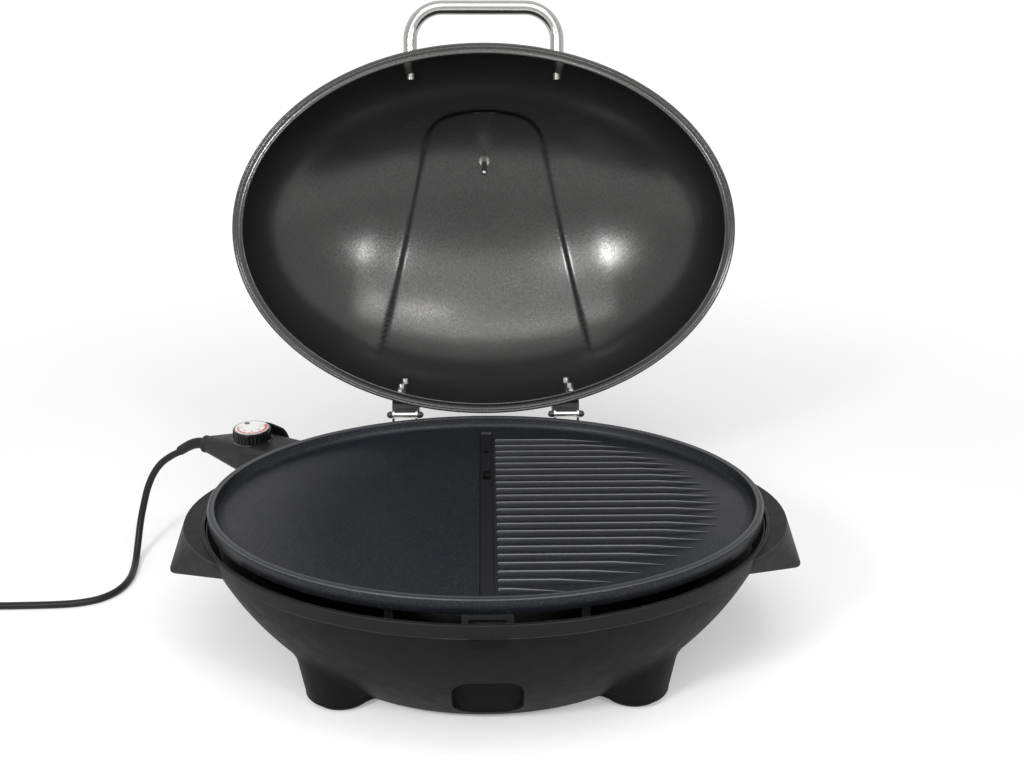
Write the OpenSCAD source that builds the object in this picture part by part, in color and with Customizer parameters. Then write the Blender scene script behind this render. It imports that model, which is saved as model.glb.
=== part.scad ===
// Electric table grill: an oval cast plate over a moulded base, under a hinged dome lid,
// heated through a plug-in temperature control on a mains lead.
// X runs side to side, Y front to back, Z up. The origin is on the table, under the middle of the base.

/* [Base] */
// Length of the base's oval mouth, side to side
base_w = 492; // [480:1:520]
// Depth of the base's oval mouth, front to back
base_d = 366; // [360:1:390]
// Height of the base's lip above the table
lip_h = 134; // [128:1:138]
// Height of the rim ring's outer band
band_h = 12; // [8:1:16]
// Wall of the base mouldings
base_wall = 3; // [2.5:0.5:4]
// Length of the bowl's flat bottom
bowl_bottom_w = 314; // [290:1:330]
// Height of the bowl's bottom above the table
bowl_clear = 6; // [4:1:9]
// Radius of a moulded foot where it meets its pad
foot_r = 31; // [26:1:34]
// How far each foot stands to the side of the middle
foot_x = 124; // [116:1:130]
// How far each foot stands in front of or behind the middle
foot_y = 76; // [70:1:80]
// Thickness of a rubber foot pad
pad_t = 3; // [2:0.5:4]
// How far the side handles stand out beyond the mouth
wing_reach = 28; // [22:1:34]
// Width of the finger recess at the front
recess_w = 52; // [44:1:60]
// Height of the finger recess
recess_h = 28; // [22:1:32]

/* [Grill plate] */
// Length of the plate, side to side
plate_w = 480; // [470:1:484]
// Depth of the plate, front to back
plate_d = 346; // [338:1:350]
// Height of the plate's rim above the table
plate_top = 150; // [147:0.5:154]
// Height of the plate's outer side
plate_side = 13; // [11:0.5:15]
// Width of the plate's raised rim
plate_rim = 6; // [5:0.5:8]
// Depth of the cooking floor below the rim
plate_depth = 9; // [7:0.5:10]
// Distance from one rib to the next
rib_pitch = 13; // [11:0.5:16]
// Height of a rib
rib_h = 3.5; // [2:0.5:4.5]
// Width of a rib at its foot
rib_w = 6; // [4:0.5:8]
// Width of the drain channel between the two halves
channel_w = 12.4; // [9:0.2:16]
// Width of the drain hole
drain_w = 7.4; // [5:0.2:9]
// Length of the drain hole
drain_l = 17; // [12:1:24]

/* [Lid] */
// Length of the lid over its rolled edge
lid_w = 499; // [490:1:508]
// Depth of the lid over its rolled edge
lid_d = 365; // [360:1:372]
// Width of the lid's flat flange
flange_w = 10.5; // [8:0.5:12]
// Height of the dome inside, above the flange
dome_h = 118; // [100:1:130]
// Thickness of the lid's sheet
lid_t = 0.8; // [0.6:0.1:1.2]
// How far the lid stands open
open_angle = 105; // [95:1:110]
// Width of the pressed arch at its top
arch_top_w = 124; // [100:1:140]

/* [Hinges] */
// Distance from the middle to each hinge
hinge_x = 81; // [70:1:90]
// Distance of the hinge axis behind the middle
hinge_y = 183; // [182:0.5:188]
// Diameter of a hinge pin
pin_d = 4; // [3:0.5:5]
// Width between the two ears of a hinge
ear_gap = 21; // [16:1:26]

/* [Lid handle] */
// Distance between the legs of the handle
handle_span = 147; // [130:1:160]
// Diameter of the handle tube
handle_d = 14; // [12:0.5:16]
// How far the handle stands in front of the dome wall
handle_reach = 66; // [56:1:72]
// Middle-line radius of the handle's corners
handle_bend = 32; // [25:1:40]

/* [Thermometer] */
// Diameter of the thermometer on the lid
gauge_d = 52; // [44:1:60]
// Length of its stem inside the dome
stem_l = 42; // [30:1:55]

/* [Temperature control] */
// Angle at which the control plugs in, off the X axis
plug_angle = 22; // [18:1:26]
// Diameter of the temperature dial
dial_d = 37; // [33:0.5:40]
// Height of the dial
dial_h = 10; // [8:0.5:12]
// Width of the control's body across the dial
control_w = 45; // [42:1:48]
// Diameter of the probe rod
probe_d = 6; // [5:0.5:7]
// Diameter of the element's two contact pins
contact_d = 5; // [4:0.5:6]

/* [Mains lead] */
// Diameter of the lead
cord_d = 7; // [6:0.1:8]

/* [Hidden] */

big_fn = 144;
mid_fn = 64;
small_fn = 32;
touch = 0.3;                // gap left where one body rests on another
run_fit = 0.05;             // radial clearance of a shaft in its bore

// derived heights
band_low = lip_h - band_h;  // where the ring sits on the bowl
plate_under = plate_top - plate_side;
floor_top = plate_top - plate_depth;
shelf_z = plate_under - 22; // shoulder of the reflector that carries the plate
bowl_floor = bowl_clear + base_wall;

// lid and hinge
lid_z = plate_top + touch + lid_t;      // inner corner between flange and dome, lid shut
mouth_w = lid_w - 2 * flange_w;
mouth_d = lid_d - 2 * flange_w;
hinge_z = plate_top - 3.5;

// control
dial_x = -228;
dial_y = 145;
control_z = 124;            // height of the control's middle line
control_half = 14.5;          // half its thickness at the dial
nose_s = 66;                // how far the nose reaches in from the dial's axis
nose_w = 42;
nose_h = 24;
collar_s = -56;             // where the collar stands, on the lead's side
contact_pitch = 24;         // between the two contact pins
deck_z = control_z + control_half;
dial_low = deck_z + 1.5 + touch;

// ---------- helpers ----------

function arc(x, y, r, a0, a1, n) = [for (i = [0:n]) let (a = a0 + (a1 - a0) * i / n) [x + r * cos(a), y + r * sin(a)]];

function curve3(p, q, r, n) = [for (i = [0:n]) let (u = i / n) (1 - u) * (1 - u) * p + 2 * u * (1 - u) * q + u * u * r];

// turns a profile, drawn at the oval's long half-axis, into an oval body of size w by d
module oval_turn(w, d) {
    scale([1, d / w, 1]) rotate_extrude($fn = big_fn) children();
}

module oval_disc(w, d, h) {
    scale([1, d / w, 1]) cylinder(d = w, h = h, $fn = big_fn);
}

// half depth of an oval w by d, at a distance x from its middle
function oval_y(w, d, x) = d / 2 * sqrt(1 - pow(2 * x / w, 2));

// half width of an oval w by d, at a distance y from its middle
function oval_x(w, d, y) = w / 2 * sqrt(max(0, 1 - pow(2 * y / d, 2)));

// the four quarters of the base
module at_feet() {
    for (sx = [-1, 1], sy = [-1, 1]) translate([sx * foot_x, sy * foot_y, 0]) children();
}

module at_hinges() {
    for (sx = [-1, 1]) translate([sx * hinge_x, hinge_y, hinge_z]) children();
}

// the lid is drawn shut and swung back about the hinge axis
module swing_open() {
    translate([0, hinge_y, hinge_z]) rotate([-open_angle, 0, 0]) translate([0, -hinge_y, -hinge_z]) children();
}

// frame of the control: +X points at the plate, origin on the dial's axis at the table
module at_control() {
    translate([dial_x, dial_y, 0]) rotate([0, 0, -plug_angle]) children();
}

// ---------- base ----------

bowl_top_w = base_w - 5;
bowl_bend = bowl_bottom_w + 48;     // length of the oval where the side starts to rise

// outline of the bowl's side from bottom to mouth; inset moves it in by a wall
function bowl_side(inset) = curve3([bowl_bottom_w / 2 - inset, bowl_clear + inset],
    [bowl_bend / 2 - inset, bowl_clear + 6.6 + inset * 1.4], [bowl_top_w / 2 - inset, band_low], 12);

module bowl_solid(inset) {
    top = inset == 0 ? band_low : band_low + 1;
    oval_turn(base_w - 2 * inset, base_d - 2 * inset)
        polygon(concat([[0, bowl_clear + inset]], bowl_side(inset), [[bowl_top_w / 2 - inset, top], [0, top]]));
}

foot_rise = 82;                     // how far a foot runs up into the bowl's side
foot_flare = 12;                    // how much wider it is up there
foot_round = 5;

module foot_solid() {
    rotate_extrude($fn = mid_fn)
        polygon(concat([[0, pad_t]], arc(foot_r - foot_round, pad_t + foot_round, foot_round, -90, 0, 5),
            [[foot_r + foot_flare, foot_rise], [0, foot_rise]]));
}

module foot_hollow() {
    translate([0, 0, pad_t + base_wall]) cylinder(r1 = foot_r - base_wall - 2, r2 = foot_r + foot_flare - base_wall,
        h = foot_rise - pad_t - base_wall + 0.01, $fn = mid_fn);
}

recess_z = 11;                      // bottom of the finger recess
recess_y = 122;                     // how far in front of the middle its back wall stands

// a slot with round ends in the front wall, from y = -220 back to y = -depth
module front_slot(w, h, depth) {
    translate([0, -depth, recess_z + recess_h / 2]) rotate([90, 0, 0]) {
        translate([-(w - h) / 2, -h / 2, 0]) cube([w - h, h, 220 - depth]);
        for (sx = [-1, 1]) translate([sx * (w - h) / 2, 0, 0]) cylinder(d = h, h = 220 - depth, $fn = mid_fn);
    }
}

// the cut in the ring, bowl and reflector that the control slides through
notch_w = nose_w + 6;
notch_low = control_z - nose_h / 2 - 4;

module control_notch() {
    at_control() translate([32, -notch_w / 2, notch_low]) cube([nose_s + 6, notch_w, 60]);
}

screw_boss_r = 5;
base_screw_at = [[190, 0], [-190, 0], [0, 132], [0, -132 + 28]];

module base_bowl() color([0.13, 0.13, 0.14]) {
    difference() {
        union() {
            bowl_solid(0);
            at_feet() foot_solid();
        }
        difference() {
            union() {
                bowl_solid(base_wall);
                at_feet() foot_hollow();
            }
            // thick wall left behind the recess
            front_slot(recess_w + 2 * base_wall, recess_h + 2 * base_wall, recess_y - base_wall);
        }
        front_slot(recess_w, recess_h, recess_y);
        control_notch();
    }
    // posts that carry the reflector's floor
    for (x = [-60, 60], y = [-45, 45]) translate([x, y, bowl_floor - 0.5])
        cylinder(r = screw_boss_r, h = reflector_floor - bowl_floor + 0.5, $fn = small_fn);
}

wing_low = lip_h - 36;
wing_arc_r = 104;
wing_half = 85;                     // half the length of a side handle along its root

// crescent of the handle's top, seen from above
module wing_top(grow) {
    reach = base_w / 2 + wing_reach - 12 + grow;
    intersection() {
        translate([-reach + wing_arc_r, 0, 0]) cylinder(r = wing_arc_r, h = 3, $fn = mid_fn);
        translate([-reach - 1, -wing_half - grow, 0]) cube([70, 2 * (wing_half + grow), 3]);
    }
}

// the skirt's lower edge: deepest at the outer corners, and up at the band where the handle starts
module wing_foot(grow) {
    for (sy = [-1, 1]) {
        translate([-base_w / 2 - wing_reach - grow + 12, sy * (33 + grow), wing_low]) cylinder(r = 9, h = 2, $fn = small_fn);
        translate([-base_w / 2 + 36, sy * (wing_half + 2 + grow), band_low - 1]) cylinder(r = 4, h = 2, $fn = small_fn);
    }
}

module wing_block(grow) {
    hull() {
        translate([0, 0, lip_h - 6]) wing_top(grow);
        wing_foot(grow);
    }
}

// one side handle: a wing open underneath for the fingers
module wing() {
    difference() {
        wing_block(0);
        translate([0, 0, -base_wall - 0.5]) wing_block(-base_wall);
        oval_turn(base_w - 2 * base_wall, base_d - 2 * base_wall)
            polygon([[0, wing_low - 5], [bowl_top_w / 2 + 0.4, wing_low - 5], [bowl_top_w / 2 + 0.4, band_low],
                [base_w / 2 - base_wall, band_low], [base_w / 2 - base_wall, lip_h + 5], [0, lip_h + 5]]);
    }
}

module base_rim() color([0.14, 0.14, 0.15]) {
    difference() {
        union() {
            oval_turn(base_w, base_d) polygon(concat([[base_w / 2 - base_wall - 4, band_low], [base_w / 2 - 0.6, band_low]],
                arc(base_w / 2 - 1.5, lip_h - 1.5, 1.5, 0, 90, 4), [[base_w / 2 - base_wall - 4, lip_h]]));
            wing();
            mirror([1, 0, 0]) wing();
        }
        oval_turn(base_w - 2 * base_wall, base_d - 2 * base_wall)
            polygon([[0, band_low - 1], [bowl_top_w / 2 - base_wall, band_low - 1], [bowl_top_w / 2 - base_wall, band_low + 3],
                [base_w / 2 - base_wall, band_low + 3], [base_w / 2 - base_wall, lip_h + 1], [0, lip_h + 1]]);
        control_notch();
        at_bracket_screws() cylinder(r = bracket_screw_r, h = 20, center = true, $fn = small_fn);
    }
}

module foot_pads() color([0.05, 0.05, 0.05])
    at_feet() cylinder(r = foot_r - foot_round - 1, h = pad_t, $fn = mid_fn);

// cheeks that shield the control where it plugs into the base
guard_t = 3;
module socket_guard() color([0.12, 0.12, 0.13]) {
    inner = notch_w / 2;
    difference() {
        at_control() {
            translate([0, inner + guard_t, 0]) rotate([90, 0, 0]) linear_extrude(guard_t)
                polygon(concat([[70, band_low + 6], [30, band_low + 6]], curve3([25, lip_h - 3], [23.5, lip_h + 5], [18, lip_h + 8], 5),
                    curve3([10, lip_h + 10], [-6, lip_h + 14], [-6, lip_h + 6], 6), curve3([-5, 130], [6, 114], [20, notch_low - guard_t], 5),
                    [[70, notch_low - guard_t]]));
            translate([0, -inner, 0]) rotate([90, 0, 0]) linear_extrude(guard_t)
                polygon([[20, notch_low - guard_t], [50, notch_low - guard_t], [50, band_low + 6], [34, band_low + 6], [24, notch_low + 6]]);
            translate([20, -inner - guard_t, notch_low - guard_t]) cube([50, notch_w + 2 * guard_t, guard_t]);
        }
        bowl_solid(-touch);
        translate([0, 0, band_low - 0.5]) oval_disc(base_w + 2 * touch, base_d + 2 * touch, 40);
    }
}

module front_catch() color([0.13, 0.13, 0.14])
    difference() {
        translate([-15, -base_d / 2 - 0.2, band_low - 7.5]) cube([30, 10, 7.2]);
        bowl_solid(-0.05);
    }

module base_screws() color([0.6, 0.6, 0.62])
    at_feet() translate([0, 0, pad_t + base_wall]) {
        cylinder(r = 3.4, h = 2.2, $fn = small_fn);
    }

// ---------- inside the base ----------

reflector_t = 0.8;
reflector_floor = 26;
shelf_w = base_w - 2 * base_wall - 20;

// sheet steel pan: floor, sloping side, shoulder and upright edge
function pan_line(inset) = [[0, reflector_floor + inset], [base_w / 2 - 100 - inset, reflector_floor + inset],
    [shelf_w / 2 - 18 - inset, shelf_z - reflector_t + inset], [shelf_w / 2 - inset, shelf_z - reflector_t + inset],
    [base_w / 2 - base_wall - 1.2 - inset, lip_h - 3]];

module heat_reflector() color([0.62, 0.62, 0.63])
    difference() {
        oval_turn(base_w, base_d) polygon(concat(pan_line(0), [[0, lip_h - 3]]));
        oval_turn(base_w, base_d) polygon(concat(pan_line(reflector_t), [[base_w / 2 - base_wall - 1.2 - reflector_t, lip_h], [0, lip_h]]));
        control_notch();
    }

// grease from the drain hole falls into this tray
drain_y = 59;
tray_w = 190;
tray_d = 110;
tray_h = 22;
module drip_tray() color([0.7, 0.7, 0.71])
    translate([0, 30, reflector_floor + reflector_t])
        difference() {
            oval_turn(tray_w, tray_d) polygon([[0, 0], [tray_w / 2 - 8, 0], [tray_w / 2 - 2, tray_h - 1],
                [tray_w / 2 + 3, tray_h - 1], [tray_w / 2 + 3, tray_h], [0, tray_h]]);
            oval_turn(tray_w, tray_d) polygon([[0, 1], [tray_w / 2 - 9, 1], [tray_w / 2 - 3, tray_h + 1], [0, tray_h + 1]]);
        }

post_d = 7;
post_x = 75;
module plate_posts() color([0.8, 0.8, 0.8]) {
    y = oval_y(shelf_w - 18, (shelf_w - 18) * base_d / base_w, post_x);
    for (sx = [-1, 1], sy = [-1, 1]) translate([sx * post_x, sy * y, shelf_z])
        cylinder(d = post_d, h = plate_under - shelf_z, $fn = small_fn);
}

rest_w = 39;
module plate_rests() color([0.1, 0.1, 0.11]) {
    mid = shelf_w * base_d / base_w / 2 - 5;
    for (sy = [-1, 1]) difference() {
        translate([-rest_w / 2, sy * mid - 3, shelf_z]) cube([rest_w, 6, plate_under - shelf_z]);
        translate([-rest_w / 2 + 5, sy * mid - (sy > 0 ? 1 : 5), shelf_z - 1])
            cube([rest_w - 10, 6, plate_under - shelf_z - 4]);
    }
}

// ---------- grill plate ----------

plate_in_w = plate_w - 2 * plate_rim;
plate_in_d = plate_d - 2 * plate_rim;
flat_w = plate_in_w - 18;           // the flat of the floor, inside its rounded edge
flat_d = flat_w * plate_in_d / plate_in_w;
rib_start = channel_w / 2 + 2.4;
rib_taper = 46;                     // length over which a rib runs out to a point
rib_first = -147;
rib_count = floor(273 / rib_pitch) + 1;

// one rib along +X that runs out to a point under the plate's curved edge
module rib(y) {
    long = oval_x(flat_w, flat_d, abs(y) + rib_w / 2) - 1.5 - rib_start;
    taper = min(rib_taper, long - 6);
    translate([rib_start, y, floor_top]) rotate([90, 0, 90]) difference() {
        linear_extrude(long) polygon([[-rib_w / 2, 0], [-1.1, rib_h], [1.1, rib_h], [rib_w / 2, 0]]);
        for (s = [-1, 1]) translate([s * rib_w / 2, -1, long - taper]) rotate([0, -s * atan((rib_w / 2 - 0.5) / taper), 0])
            translate([s > 0 ? 0 : -10, 0, 0]) cube([10, 10, rib_taper + 20]);
        translate([-10, rib_h, long - taper]) rotate([atan((rib_h - 0.6) / taper), 0, 0]) cube([20, 10, rib_taper + 20]);
    }
}

boss_s0 = 92;                       // the probe's boss under the plate, measured from the dial's axis
boss_l = 56;
boss_d = 16;

module grill_plate() color([0.08, 0.08, 0.1]) {
    half = plate_w / 2;
    in = plate_in_w / 2;
    bead = 2.4;
    run = oval_y(flat_w, flat_d, channel_w) - 2;
    difference() {
        union() {
            difference() {
                oval_turn(plate_w, plate_d) polygon(concat([[0, plate_under], [half - 1.6, plate_under], [half - 0.6, plate_under + 1]],
                    arc(half - bead, plate_top - bead, bead, 0, 90, 6), [[0, plate_top]]));
                oval_turn(plate_in_w, plate_in_d) polygon(concat([[0, floor_top], [in - 9, floor_top]],
                    curve3([in - 7, floor_top + 0.1], [in - 4, floor_top + 0.6], [in - 2.6, floor_top + 3.5], 5),
                    curve3([in - 1, plate_top - 2.4], [in - 0.5, plate_top - 0.3], [in + 1.6, plate_top + 0.01], 5),
                    [[in + 1.6, plate_top + 1], [0, plate_top + 1]]));
            }
            for (i = [0:rib_count - 1]) rib(rib_first + i * rib_pitch);
            // low ridge along the flat half
            translate([-channel_w / 2 - 1.4, -run, floor_top - 0.2]) cube([1.4, 2 * run, 1]);
            // boss that takes the probe
            at_control() translate([boss_s0, 0, control_z]) rotate([0, 90, 0]) {
                cylinder(d = boss_d, h = boss_l, $fn = small_fn);
                translate([-(plate_under - control_z) - 0.5, -boss_d / 2 + 2, 0]) cube([plate_under - control_z + 0.5, boss_d - 4, boss_l]);
            }
        }
        // drain channel, drain hole and round hole
        translate([-channel_w / 2, -run + 2, floor_top - 1.8]) cube([channel_w, 2 * run - 8, 5]);
        translate([-drain_w / 2 + 0.5, drain_y - drain_l / 2, plate_under - 1]) cube([drain_w, drain_l, plate_side]);
        translate([0.3, 110, plate_under - 1]) cylinder(d = 6, h = plate_side, $fn = small_fn);
        at_control() translate([boss_s0 - 1, 0, control_z]) rotate([0, 90, 0])
            cylinder(d = probe_d + 2 * run_fit, h = boss_l - 8 + 1, $fn = small_fn);
    }
}

// ---------- heating element ----------

element_d = 6.5;
element_x = 108;
element_r = 72;
element_z = plate_under - element_d / 2;
block_s = 84;                       // terminal block, from the dial's axis

function control_point(s, w, z) = [dial_x + s * cos(plug_angle) + w * sin(plug_angle),
    dial_y - s * sin(plug_angle) + w * cos(plug_angle), z];

contact_from = nose_s - 18;         // inner end of the contact pins, plugged in

pin_end = boss_s0 + 6;              // where the pins meet the element's cold ends

function element_arc(x, a0, a1, n) = [for (q = arc(x, 0, element_r, a0, a1, n)) [q[0], q[1], element_z]];

// one sheathed rod: in from a contact pin, once round under the plate, and back out to the other
element_line = concat([control_point(pin_end, contact_pitch / 2, control_z), control_point(120, contact_pitch / 2, control_z),
    control_point(140, contact_pitch / 2, control_z), [-80, 96, control_z + 2], [-71, 84, element_z - 3], [-58, 74.5, element_z], [-44, element_r, element_z]],
    element_arc(element_x, 90, -90, 10), element_arc(-element_x, 270, 96, 10),
    [[-127, 76, element_z - 1.5], [-129.5, 86, control_z + 2], control_point(pin_end + 7, -contact_pitch / 2, control_z + 0.2),
        control_point(pin_end, -contact_pitch / 2, control_z)]);

module heating_element() color([0.35, 0.33, 0.32]) swept_tube(smooth(element_line, 2), element_d / 2, element_d / 2, 12);

module contact_pins() color([0.75, 0.75, 0.74])
    at_control() for (side = [-1, 1]) translate([contact_from, side * contact_pitch / 2, control_z]) rotate([0, 90, 0])
        cylinder(d = contact_d, h = pin_end - 0.3 - contact_from, $fn = small_fn);

module element_clips() color([0.6, 0.6, 0.6])
    for (p = [[0, element_r], [0, -element_r], [70, -element_r], [70, element_r]])
        translate([p[0], p[1], 0]) difference() {
            translate([-6, -9, element_z - element_d / 2 - 1]) cube([12, 18, plate_under - element_z + element_d / 2 + 1]);
            translate([0, 0, element_z]) rotate([0, 90, 0]) cylinder(d = element_d + 0.6, h = 20, center = true, $fn = small_fn);
            translate([-10, -element_d / 2 - 0.3, element_z]) cube([20, element_d + 0.6, 10]);
        }

module terminal_block() color([0.85, 0.83, 0.78])
    at_control() difference() {
        translate([block_s, -20, control_z - 9]) cube([7, 40, plate_under - control_z + 9]);
        for (side = [-1, 1]) translate([block_s - 1, side * contact_pitch / 2, control_z]) rotate([0, 90, 0])
            cylinder(d = contact_d, h = 9, $fn = small_fn);
        translate([block_s - 1, 0, control_z]) rotate([0, 90, 0]) cylinder(d = probe_d + 1, h = 9, $fn = small_fn);
    }

// ---------- hinges ----------

ear_t = 2;
ear_r = 5;
bracket_w = ear_gap + 2 * ear_t;
bracket_y = oval_y(base_w, base_d, hinge_x - bracket_w / 2) + touch;    // face against the ring
bracket_screw_r = 1.6;

module at_bracket_screws() {
    for (sx = [-1, 1], dx = [-6, 6]) translate([sx * hinge_x + dx, bracket_y, band_low + 5]) rotate([90, 0, 0]) children();
}

// stainless bracket: a plate on the ring's back with two ears round the pin
module hinge_brackets() color([0.82, 0.82, 0.83])
    for (sx = [-1, 1]) translate([sx * hinge_x, 0, 0]) difference() {
        union() {
            difference() {
                translate([-bracket_w / 2, bracket_y - 9, band_low]) cube([bracket_w, ear_t + 9, band_h]);
                translate([-sx * hinge_x, 0, band_low - 1]) oval_disc(base_w + 2 * touch, base_d + 2 * touch, band_h + 2);
            }
            for (ex = [-bracket_w / 2, ear_gap / 2]) {
                translate([ex, hinge_y, hinge_z]) rotate([0, 90, 0]) cylinder(r = ear_r, h = ear_t, $fn = small_fn);
                translate([ex, bracket_y, band_low + 3]) cube([ear_t, hinge_y + ear_r - bracket_y - 1, hinge_z - band_low - 4]);
                translate([ex, hinge_y - ear_r, hinge_z - 8]) cube([ear_t, 2 * ear_r, 8]);
            }
        }
        translate([-bracket_w, hinge_y, hinge_z]) rotate([0, 90, 0]) cylinder(d = pin_d, h = 2 * bracket_w, $fn = small_fn);
        for (dx = [-6, 6]) translate([dx, bracket_y, band_low + 5]) rotate([90, 0, 0])
            cylinder(r = bracket_screw_r, h = 20, center = true, $fn = small_fn);
    }

pin_over = 3.4;                     // how far the pin stands out of the bracket at each end
module hinge_pins() color([0.85, 0.85, 0.86])
    at_hinges() rotate([0, 90, 0]) cylinder(d = pin_d, h = bracket_w + 2 * pin_over, center = true, $fn = small_fn);

module pin_caps() color([0.08, 0.08, 0.08])
    at_hinges() for (s = [-1, 1]) rotate([0, s * 90, 0]) translate([0, 0, bracket_w / 2]) difference() {
        union() {
            cylinder(r = 3.4, h = 2.6, $fn = small_fn);
            translate([0, 0, 2.6]) intersection() {
                sphere(r = 3.4, $fn = small_fn);
                cylinder(r = 4, h = 4, $fn = small_fn);
            }
        }
        translate([0, 0, -0.01]) cylinder(d = pin_d, h = pin_over + 0.01, $fn = small_fn);
    }

module bracket_screws() color([0.75, 0.75, 0.76])
    at_bracket_screws() {
        translate([0, 0, -ear_t - 1.4]) cylinder(r = 3, h = 1.4, $fn = small_fn);
        translate([0, 0, -ear_t]) cylinder(r = bracket_screw_r, h = 2.8 + ear_t, $fn = small_fn);
    }

// ---------- lid ----------

// dome surface, drawn shut: outside with grow = lid_t, inside with grow = 0
crown_z = lid_z + 58;                // height at which the lid's wall gives way to its crown

module dome(grow) {
    translate([0, 0, lid_z]) scale([mouth_w / 2 + grow, mouth_d / 2 + grow, dome_h + grow]) sphere(r = 1, $fn = 240);
}

function dome_z(x, y, grow) = lid_z + (dome_h + grow)
    * sqrt(1 - pow(x / (mouth_w / 2 + grow), 2) - pow(y / (mouth_d / 2 + grow), 2));

arch_y = -124;                      // apex of the pressed arch
arch_low_y = 132;                   // where its legs end
arch_leg_w = 228;                   // width between the ends of its legs

module arch_outline(grow) {
    top_r = 86 + grow;
    polygon(concat([[-arch_leg_w / 2 - grow, arch_low_y]],
        [[-arch_top_w / 2 - 3 - grow, -90]], arc(-arch_top_w / 2 + 22, -88, 24 + grow, 195, 248, 4),
        arc(0, arch_y + 86, top_r, 248, 292, 8),
        arc(arch_top_w / 2 - 22, -88, 24 + grow, 292, 345, 4), [[arch_top_w / 2 + 3 + grow, -90]],
        [[arch_leg_w / 2 + grow, arch_low_y]]));
}

screw_x = handle_span / 2;
screw_z = 187;                      // height of the handle's legs, lid shut
wall_y = -oval_y_dome(screw_x, screw_z);
hinge_bolt_r = 2;
hinge_bolt_at = [[-2, 184.5], [-5, 171]];     // offset from the hinge's middle and height, lid shut

// distance from the middle to the inside of the dome, at a distance x and height z
function oval_y_dome(x, z) = mouth_d / 2 * sqrt(1 - pow(2 * x / mouth_w, 2) - pow((z - lid_z) / dome_h, 2));

gauge_y = -75;
gauge_tilt = atan(abs(gauge_y) / pow(mouth_d / 2, 2) / ((dome_z(0, gauge_y, lid_t) - lid_z) / pow(dome_h, 2)));

// frame of the thermometer: +Z stands out of the dome, lid shut
module at_gauge() {
    translate([0, gauge_y, dome_z(0, gauge_y, lid_t)]) rotate([gauge_tilt, 0, 0]) children();
}

stem_d = 6;

// the lid's skin between two heights: the crown is lid_shell, and the steep wall below it is lid_skirt
module lid_skin(low, high) difference() {
    dome(lid_t);
    dome(0);
    translate([-lid_w, -lid_w, low - 2 * dome_h]) cube([2 * lid_w, 2 * lid_w, 2 * dome_h]);
    translate([-lid_w, -lid_w, high]) cube([2 * lid_w, 2 * lid_w, 2 * dome_h]);
}

module lid_shell() color([0.2, 0.2, 0.2])
    swing_open() difference() {
        lid_skin(crown_z, lid_z + dome_h + 10);
        at_gauge() cylinder(d = stem_d, h = 20, center = true, $fn = small_fn);
    }

module lid_skirt() color([0.2, 0.2, 0.2])
    swing_open() difference() {
        lid_skin(lid_z, crown_z);
        for (sx = [-1, 1]) {
            translate([sx * screw_x, wall_y, screw_z]) rotate([90, 0, 0]) cylinder(r = handle_screw_r, h = 30, center = true, $fn = small_fn);
            for (b = hinge_bolt_at) translate([sx * (hinge_x - b[0]), 160, b[1]]) rotate([90, 0, 0])
                cylinder(r = hinge_bolt_r, h = 50, center = true, $fn = small_fn);
        }
    }

// flange round the dome's mouth, with a rolled edge
module lid_rim() color([0.2, 0.2, 0.2])
    swing_open() difference() {
        edge = lid_w / 2;
        scale([1, lid_d / lid_w, 1]) rotate_extrude($fn = 108) polygon(concat([[edge - flange_w - 6, lid_z - lid_t], [edge - 3, lid_z - lid_t]],
            arc(edge - 1.5, lid_z, 1.5, -60, 120, 5), [[edge - 3.6, lid_z], [edge - flange_w - 6, lid_z]]));
        translate([0, 0, lid_z - 5]) scale([1, mouth_d / mouth_w, 1]) cylinder(d = mouth_w, h = 10, $fn = 108);
    }

module lid_arch() color([0.22, 0.22, 0.22])
    swing_open() intersection() {
        difference() {
            dome(0);
            dome(-0.9);
        }
        translate([0, 0, lid_z + 30]) linear_extrude(dome_h) difference() {
            arch_outline(1.3);
            arch_outline(-1.3);
            translate([-200, arch_low_y - 1, 0]) square([400, 10]);
        }
    }

arm_w = 27;
arm_high = 194;
barrel_r = 3.2;

// black arm: hugs the dome's back wall and runs down to the barrel
module lid_hinge_arms() color([0.1, 0.1, 0.1])
    swing_open() for (sx = [-1, 1]) difference() {
        translate([sx * hinge_x, 0, 0]) rotate([90, 0, 90]) translate([0, 0, -ear_gap / 2 + touch]) {
            linear_extrude(ear_gap - 2 * touch) polygon([[hinge_y - 2, hinge_z + barrel_r - 0.4], [hinge_y + 2, hinge_z + barrel_r - 0.4],
                [hinge_y + 3, hinge_z + 7.2], [hinge_y - 6, hinge_z + 7.2]]);
            translate([0, 0, (ear_gap - 2 * touch - arm_w) / 2]) linear_extrude(arm_w) polygon(concat([[hinge_y - 10, hinge_z + 7]],
                curve3([hinge_y + 3, hinge_z + 7], [hinge_y + 3, hinge_z + 26], [hinge_y - 16, arm_high], 7), [[hinge_y - 40, arm_high]]));
        }
        dome(lid_t);
        translate([sx * hinge_x, hinge_y, hinge_z]) rotate([0, 90, 0]) cylinder(r = barrel_r, h = 2 * arm_w, center = true, $fn = small_fn);
        translate([0, 0, lid_z - 3]) oval_disc(lid_w + 2 * touch, lid_d + 2 * touch, 5.2);
        for (b = hinge_bolt_at) translate([sx * (hinge_x - b[0]), 160, b[1]]) rotate([90, 0, 0])
            cylinder(r = hinge_bolt_r, h = 100, center = true, $fn = small_fn);
    }

module hinge_barrels() color([0.86, 0.86, 0.87])
    swing_open() at_hinges() rotate([0, 90, 0]) difference() {
        cylinder(r = barrel_r, h = ear_gap - 2 * touch, center = true, $fn = small_fn);
        cylinder(r = pin_d / 2 + run_fit, h = ear_gap + 2, center = true, $fn = small_fn);
    }

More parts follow.
